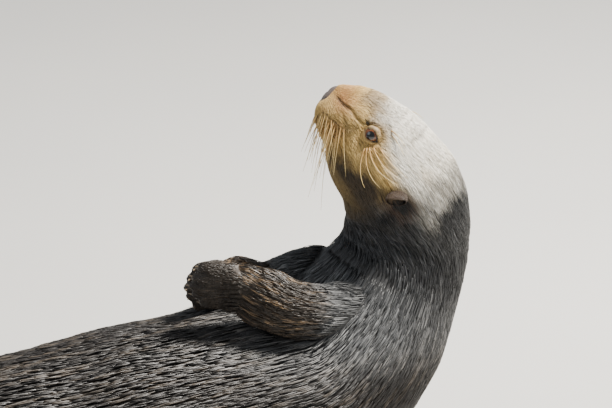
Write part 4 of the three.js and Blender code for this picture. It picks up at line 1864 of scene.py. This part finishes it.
    def build(self, part: CoatPart, material: Material) -> Object:
        """Builds one piece of the coat, with its unwrap by roots.

        Args:
            part: the coat's part.
            material: the fur's finish.

        Returns:
            The piece.
        """
        grown = []
        for name, share in zip(part.surfaces, self.area_shares(part)):
            grown.append(self.grow(name, self.surface(name), part, int(part.count * share)))
        points = np.concatenate([tufts.points for tufts in grown])
        number = len(points)
        corners, sizes, flat = tuft_faces()
        all_corners = (corners + 8 * np.arange(number)[:, None]).ravel()
        piece = new_mesh(part.name, points.reshape(-1, 3), all_corners, np.tile(sizes, number))
        scale = [0.96 / len(grown), 0.96]
        boxes = [tufts.root * scale + [0.02 + k / len(grown), 0.02] for k, tufts in enumerate(grown)]
        root = np.concatenate(boxes)
        set_unwrap(piece, "OFBake", (root[:, None] + (flat - 0.5) * 0.003).reshape(-1, 2))
        drift = np.random.default_rng(part.seed).uniform(0, 50, (number, 1, 2))
        set_unwrap(piece, "Strand", (flat + drift).reshape(-1, 2))
        set_values(piece, "tip", np.tile(TUFT_TIPS, number))
        set_values(piece, "tone", np.repeat(np.concatenate([tufts.tone for tufts in grown]), 8))
        for zone in Marking:
            set_values(piece, zone.value, np.repeat(np.concatenate([t.zones[zone] for t in grown]), 8))
        return dress(piece, material)


TRUNK = ("trunk",)
EARS = ("ear_left", "ear_right")
FORELIMBS = (*list(LIMBS)[:2], *list(PAWS)[:2])
HIND_LIMBS = (*list(LIMBS)[2:], *list(PAWS)[2:])
AT = STATIONS
COAT_PARTS = (
    CoatPart("coat_face", TRUNK, 15900, (AT["eyes"] - 0.004, 0.998), "pale_fur", (16, 2.2), 0.3, 0.12, 2),
    CoatPart("coat_crown", TRUNK, 16300, (AT["nape"], AT["eyes"]), "pale_fur", (24, 2.4), 0.35, 0.1, 3),
    CoatPart("coat_neck", TRUNK, 15900, (AT["shoulders"], AT["nape"]), "brown_fur", (34, 3), 0.5, 0.07, 4),
    CoatPart("coat_chest", TRUNK, 15600, (AT["waist"], AT["shoulders"]), "dark_fur", (40, 4), 0.6, 0.12, 5),
    CoatPart("coat_belly", TRUNK, 15900, (AT["rump"], AT["waist"]), "dark_fur", (46, 5), 0.65, 0.13, 6),
    CoatPart("coat_tail", TRUNK, 10000, (0.004, AT["rump"]), "dark_fur", (42, 5), 0.6, 0.12, 7),
    CoatPart("coat_forelimbs", FORELIMBS, 16400, (0.01, 0.996), "dark_fur", (24, 3.6), 0.6, 0.26, 8),
    CoatPart("coat_hind_limbs", HIND_LIMBS, 16300, (0.01, 0.996), "dark_fur", (24, 4), 0.55, 0.22, 9),
    CoatPart("coat_ears", EARS, 3600, (0.14, 0.52), "brown_fur", (8, 1.6), 0.2, 0.1, 10),
)


def ball(points: Array, polar: Array, turn: Array) -> Shell:
    """Closes a grid of points over a ball, by angle from its pole and share of a turn, into a shell."""
    shell = outward(closed_grid(points, polar / np.pi, turn))
    shell.flat = 0.02 + shell.flat * 0.96
    return shell


@dataclass
class Eye:
    """An eyeball with a raised cornea."""

    side: float
    node: str

    def build(self, material: Material) -> Object:
        """Builds the eyeball: a sphere round the gaze, whose radius grows by 0.7 mm towards its front.

        Args:
            material: the eye's finish.

        Returns:
            The piece.
        """
        polar = np.linspace(0.02, np.pi - 0.02, 44)
        turn = np.arange(56) / 56
        pp, tt = np.meshgrid(polar, turn * 2 * np.pi, indexing="ij")
        radius = SOCKET.radius - 0.5 + 0.7 * np.exp(-((pp / 0.55) ** 2))
        around, up, out = np.sin(pp) * np.cos(tt), np.sin(pp) * np.sin(tt), np.cos(pp)
        local = (np.stack([around, up, out], axis=-1) * column(radius)) @ SOCKET.frame()
        local = (local + np.array(SOCKET.seat)) * np.array([1, 1, self.side])
        piece = ball(HEAD.world(local), polar, turn).build(self.node + "_ball")
        set_values(piece, "angle", np.append(pp.ravel() / np.pi, [0.0, 1.0]))
        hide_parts(self.node)
        return dress(piece, material)


@dataclass(frozen=True)
class NosePad:
    """The bare nose: a rounded lozenge with a comma-shaped nostril on each side."""

    behind: float = 3.0
    above: float = 3.2
    long: float = 6.4
    wide: float = 14.5
    high: float = 11.5
    tilt: float = 5.0

    def covers(self, local: Array) -> Array:
        """Tells which points of the head lie under the pad."""
        sizes = np.array([self.long + 1, self.high, self.wide]) * 0.97
        away = (local - np.array([self.behind, self.above, 0])) / sizes
        return dot(away, away) < 1.0

    def build(self, material: Material) -> Object:
        """Builds the pad: a ball whose outline across is a lozenge with round corners, creased down the
        middle and drawn in along a bent line on each side for the nostrils.

        Args:
            material: the nose's finish.

        Returns:
            The piece.
        """
        polar = np.linspace(0.01, np.pi - 0.01, 70)
        turn = np.arange(120) / 120
        pp, tt = np.meshgrid(polar, turn * 2 * np.pi, indexing="ij")
        cos, sin = np.cos(tt), np.sin(tt)
        lozenge = (np.abs(cos) ** 1.55 + np.abs(sin) ** 1.55) ** (-1 / 1.55)
        ring = np.sin(pp) ** 0.6
        sizes = np.array([self.long, self.high, self.wide])
        local = np.stack([-np.cos(pp), sin * lozenge * ring, cos * lozenge * ring], axis=-1) * sizes
        local = local.reshape(-1, 3)
        nostril = Fold(((-5.8, 0.5, 3.8), (-5.3, -2.0, 6.2), (-4.2, -3.0, 8.8), (-2, -1.0, 11.4)), 2.8, 1.4)
        groove = Fold(((-6, 7, 0), (-6.4, 0, 0), (-5, -9, 0)), 0.8, 1.0)
        facing = smooth(-local[:, 0], -2, 2)
        push = (nostril.push(local) + groove.push(local)) * facing
        local = local + unit(local + np.array([4.0, 0, 0])) * column(push)
        cos, sin = math.cos(math.radians(self.tilt)), math.sin(math.radians(self.tilt))
        tilt = np.array([[cos, sin, 0], [-sin, cos, 0], [0, 0, 1]])
        local = local @ tilt + np.array([self.behind, self.above, 0])
        piece = ball(HEAD.world(local).reshape(*pp.shape, 3), polar, turn).build("nose_leather")
        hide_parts("nose_pad")
        return dress(piece, material)


@dataclass
class Claws:
    """The five claws of one paw: curved tapered horns."""

    name: str
    paw: Paw
    length: float = 8.0
    radius: float = 1.6
    tip_radius: float = 0.12
    sunk: float = 4.0
    drop: float = 2.4

    def build(self, material: Material) -> Object:
        """Builds the claws: a circle, a little deeper than wide, shrinks along a curved line that leaves
        the toe's tip and hooks towards the sole.

        Args:
            material: the horn's finish.

        Returns:
            The piece.
        """
        paw, upper, level = self.paw, np.arccos(-TOES) / (2 * np.pi), np.zeros(5)
        ends, before = (
            (paw.point(level + u, upper, level) + paw.point(level + u, 1 - upper, level)) / 2
            for u in (1.0, 0.86)
        )
        forward = unit(ends - before)
        down = paw.flat * -np.sign(paw.table.bend)
        rows, columns = 12, 12
        share = np.linspace(0, 1, rows)
        turn = np.arange(columns) / columns
        shells = []
        for toe in range(5):
            side = unit(np.cross(forward[toe], down))
            hook = np.cross(side, forward[toe])
            centre = ends[toe] + forward[toe] * column(share * self.length - self.sunk)
            centre = centre - hook * column(share**2 * self.drop)
            radius = self.radius * (1 - share**1.6) + self.tip_radius
            ring = side * column(np.cos(turn * 2 * np.pi)) * 0.8 + hook * column(np.sin(turn * 2 * np.pi))
            points = centre[:, None] + ring[None] * radius[:, None, None]
            shells.append(outward(closed_grid(points, share, turn)))
        piece = merged(shells, 0.18).build(self.name + "_horns")
        set_values(piece, "tip", np.tile(np.append(np.repeat(share, columns), [0.0, 1.0]), 5))
        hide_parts(*[f"{self.name}_claw_{number}" for number in range(1, 6)])
        return dress(piece, material)


@dataclass
class Whiskers:
    """The whiskers of the muzzle, the brows and the cheeks: tapered tubes that hang, being wet."""

    radius: float = 0.5
    seed: int = 13

    def seats(self, trunk: Trunk, side: float) -> tuple[Array, Array]:
        """Finds where the muzzle's whiskers leave the skin: the points of a fine grid on one side of the
        muzzle that are nearest to the rows of roots.

        Args:
            trunk: the surface with the muzzle.
            side: 1 for the left side and -1 for the right one.

        Returns:
            The roots, and the directions out of the skin.
        """
        start, end = (0.22, 0.78) if side > 0 else (-0.28, 0.28)
        u, v = pairs(np.linspace(0.86, 0.985, 120), np.linspace(start, end, 160))
        points = trunk.point(u, v, np.full(u.size, -0.8))
        local = HEAD.local(points)
        far = np.sum((local[None, :, :2] - WhiskerRows().roots()[:, None]) ** 2, axis=2)
        nearest = np.argmin(far + 1e4 * (local[None, :, 2] * side < 0), axis=1)
        raised = trunk.point(u[nearest], v[nearest], np.full(len(nearest), 6.0))
        return points[nearest], unit(raised - points[nearest])

    def lines(self, trunk: Trunk) -> tuple[Array, Array, Array, Array]:
        """Works out each whisker's root, middle pull and tip: it leaves the skin, turns forwards and
        sideways, and hangs; the hindmost ones are the longest.

        Args:
            trunk: the surface with the muzzle.

        Returns:
            Roots, middle pulls, tips and radii.
        """
        rng = np.random.default_rng(self.seed)
        forward = HEAD.world([0.0, 0, 0]) - HEAD.world([1.0, 0, 0])
        found = []
        for side in (1.0, -1.0):
            root, out = self.seats(trunk, side)
            behind = WhiskerRows().roots()[:, 0]
            count = len(root)
            length = np.interp(behind, [5, 16, 28], [22, 38, 52]) * rng.uniform(0.75, 1.15, count)
            down = np.array([0, 0, -1.0]) + rng.normal(0, 0.13, (count, 3)) + forward * 0.18
            middle = root + out * column(length * 0.22) + down * column(length * 0.2)
            tip = middle + out * column(length * 0.05) + down * column(length * 0.72)
            found.append((root, middle, tip, np.full(count, self.radius)))
            lines = np.array(CHEEK_WHISKERS, float) * np.array([1, 1, side])
            found.append((*HEAD.world(lines).transpose(1, 0, 2), np.full(len(lines), self.radius * 1.1)))
        return tuple(np.concatenate(values) for values in zip(*found))

    def build(self, trunk: Trunk, material: Material) -> Object:
        """Builds all whiskers: each is a tube round a curve with three control points, whose radius
        shrinks evenly to a fifth at the tip.

        Args:
            trunk: the surface with the muzzle.
            material: the whiskers' finish.

        Returns:
            The piece.
        """
        a, b, c, radius = self.lines(trunk)
        rows, columns = 12, 5
        share = np.linspace(0, 1, rows)
        t = share[None, :, None]
        line = a[:, None] * (1 - t) ** 2 + b[:, None] * 2 * t * (1 - t) + c[:, None] * t**2
        along = unit(np.gradient(line, axis=1))
        side = unit(np.cross(along, np.array([0.3, 0.9, 0.31])))
        up = np.cross(side, along)
        turn = np.arange(columns) / columns * 2 * np.pi
        ring = side[:, :, None] * np.cos(turn)[:, None] + up[:, :, None] * np.sin(turn)[:, None]
        points = line[:, :, None] + ring * radius[:, None, None, None] * (1 - 0.8 * t[..., None])
        shells = [outward(closed_grid(one, share, turn / (2 * np.pi))) for one in points]
        piece = merged(shells, 0.9 / len(shells)).build("whiskers")
        set_values(piece, "tip", np.tile(np.append(np.repeat(share, columns), [0.0, 1.0]), len(shells)))
        return dress(piece, material)


def merged(shells: list[Shell], width: float) -> Shell:
    """Puts equal shells into one, side by side on the unwrap.

    Args:
        shells: the shells, all with as many points.
        width: how wide each may be on the unwrap.

    Returns:
        The one shell.
    """
    step, count = len(shells[0].points), len(shells)
    return Shell(
        np.concatenate([shell.points for shell in shells]),
        np.concatenate([shell.corners + k * step for k, shell in enumerate(shells)]),
        np.concatenate([shell.sizes for shell in shells]),
        np.concatenate([shell.flat * [width, 0.96] + [k / count, 0.02] for k, shell in enumerate(shells)]),
    )


# Long whiskers of the brow and the cheek: root, middle pull and tip on the head's left side.
CHEEK_WHISKERS = (
    ((53, 15, 41), (66, 2, 53), (87, 7, 56)),
    ((54, 17, 41), (70, 8, 53), (94, 21, 54)),
    ((56, 20, 41), (70, 16, 50), (92, 25, 52)),
    ((60, 24, 41), (74, 24, 48), (95, 30, 49)),
    ((52, 13, 41), (62, -2, 52), (78, -4, 57)),
    ((58, 36, 31), (64, 40, 36), (78, 38, 42)),
    ((55, 38, 29), (60, 43, 34), (72, 43, 39)),
)


# ---- The studio -------------------------------------------------------------------------------


@dataclass
class Studio:
    """Floor, lights and camera. Its distances are metres."""

    azimuth: float = -25.0
    elevation: float = 20.0
    distance: float = 3.0
    target: Row = (0.06097, 0.02489, 0.25897)
    lens: float = 199.4
    floor_reach: float = 14.0
    floor_rows: int = 30

    def axes(self) -> tuple[Array, Array, Array]:
        """Returns the directions towards the camera, to its right and up in its picture."""
        azimuth, elevation = math.radians(self.azimuth), math.radians(self.elevation)
        level = math.cos(elevation)
        back = np.array([math.sin(azimuth) * level, -math.cos(azimuth) * level, math.sin(elevation)])
        right = np.array([math.cos(azimuth), math.sin(azimuth), 0.0])
        return back, right, np.cross(back, right)

    def aim(self, thing: Object, place: Array, at: Array) -> None:
        """Puts a camera or a lamp at a place and turns it towards a point."""
        back = Vector(place - at).normalized()
        right = Vector((0, 0, 1)).cross(back).normalized()
        turn = Matrix((right, back.cross(right), back)).transposed()
        thing.matrix_world = Matrix.Translation(Vector(place)) @ turn.to_4x4()

    def camera(self) -> None:
        """Makes the camera."""
        data = bpy.data.cameras.new("camera")
        data.lens = self.lens
        data.sensor_width = 36.0
        data.clip_end = 100.0
        camera = bpy.data.objects.new("camera", data)
        bpy.context.scene.collection.objects.link(camera)
        back, _, _ = self.axes()
        self.aim(camera, np.array(self.target) + back * self.distance, np.array(self.target))
        bpy.context.scene.camera = camera

    def lamp(self, name: str, place: Row, size: float, power: float, tint: Row) -> None:
        """Makes a square soft lamp.

        Args:
            name: its name.
            place: metres towards the camera, to its right and up, from the target.
            size: its side.
            power: its power in watts.
            tint: its colour.
        """
        data = bpy.data.lights.new(name, "AREA")
        data.shape = "SQUARE"
        data.size = size
        data.energy = power
        data.color = tint
        lamp = bpy.data.objects.new(name, data)
        bpy.context.scene.collection.objects.link(lamp)
        back, right, up = self.axes()
        target = np.array(self.target)
        self.aim(lamp, target + back * place[0] + right * place[1] + up * place[2], target)

    def build(self, finish: FloorFinish) -> None:
        """Makes the floor, the lamps, the sky and the camera."""
        count = self.floor_rows
        line = np.linspace(-self.floor_reach, self.floor_reach, count)
        xx, yy = np.meshgrid(line, line, indexing="ij")
        points = np.stack([xx, yy, 0 * xx], axis=-1).reshape(-1, 3) / MM
        index = np.arange(count**2).reshape(count, count)
        corners = [index[:-1, :-1], index[1:, :-1], index[1:, 1:], index[:-1, 1:]]
        floor = new_mesh("floor", points, np.stack(corners, axis=-1).ravel(), np.full((count - 1) ** 2, 4))
        floor.data.materials.append(finish.material())
        self.lamp("key", (0.35, 1.0, 1.7), 0.5, 165.0, (1.0, 0.96, 0.9))
        self.lamp("fill", (1.6, -2.0, 1.2), 2.0, 22.0, (0.9, 0.95, 1.0))
        world = bpy.data.worlds.new("sky")
        world.use_nodes = True
        background = world.node_tree.nodes["Background"]
        background.inputs["Color"].default_value = (0.86, 0.92, 1.0, 1.0)
        background.inputs["Strength"].default_value = 0.42
        bpy.context.scene.world = world
        self.camera()


def main() -> None:
    """Builds the animal and the studio."""
    animal = Animal()
    fur = FurFinish()
    skin = Skin(animal).build(fur)
    tuft_material = fur.tuft()
    coat = Coat(animal, skin)
    for part in COAT_PARTS:
        coat.build(part, tuft_material)
    eye = EyeFinish().material()
    Eye(1.0, "eye_left").build(eye)
    Eye(-1.0, "eye_right").build(eye)
    NosePad().build(NoseFinish().material())
    horn = ClawFinish().material()
    for name, paw in animal.paws.items():
        Claws(name, paw).build(horn)
    Whiskers().build(animal.trunk, WhiskerFinish().material())
    Studio().build(FloorFinish())


if __name__ == "__main__":
    logging.basicConfig(level=logging.INFO, format="%(name)s: %(message)s")
    main()
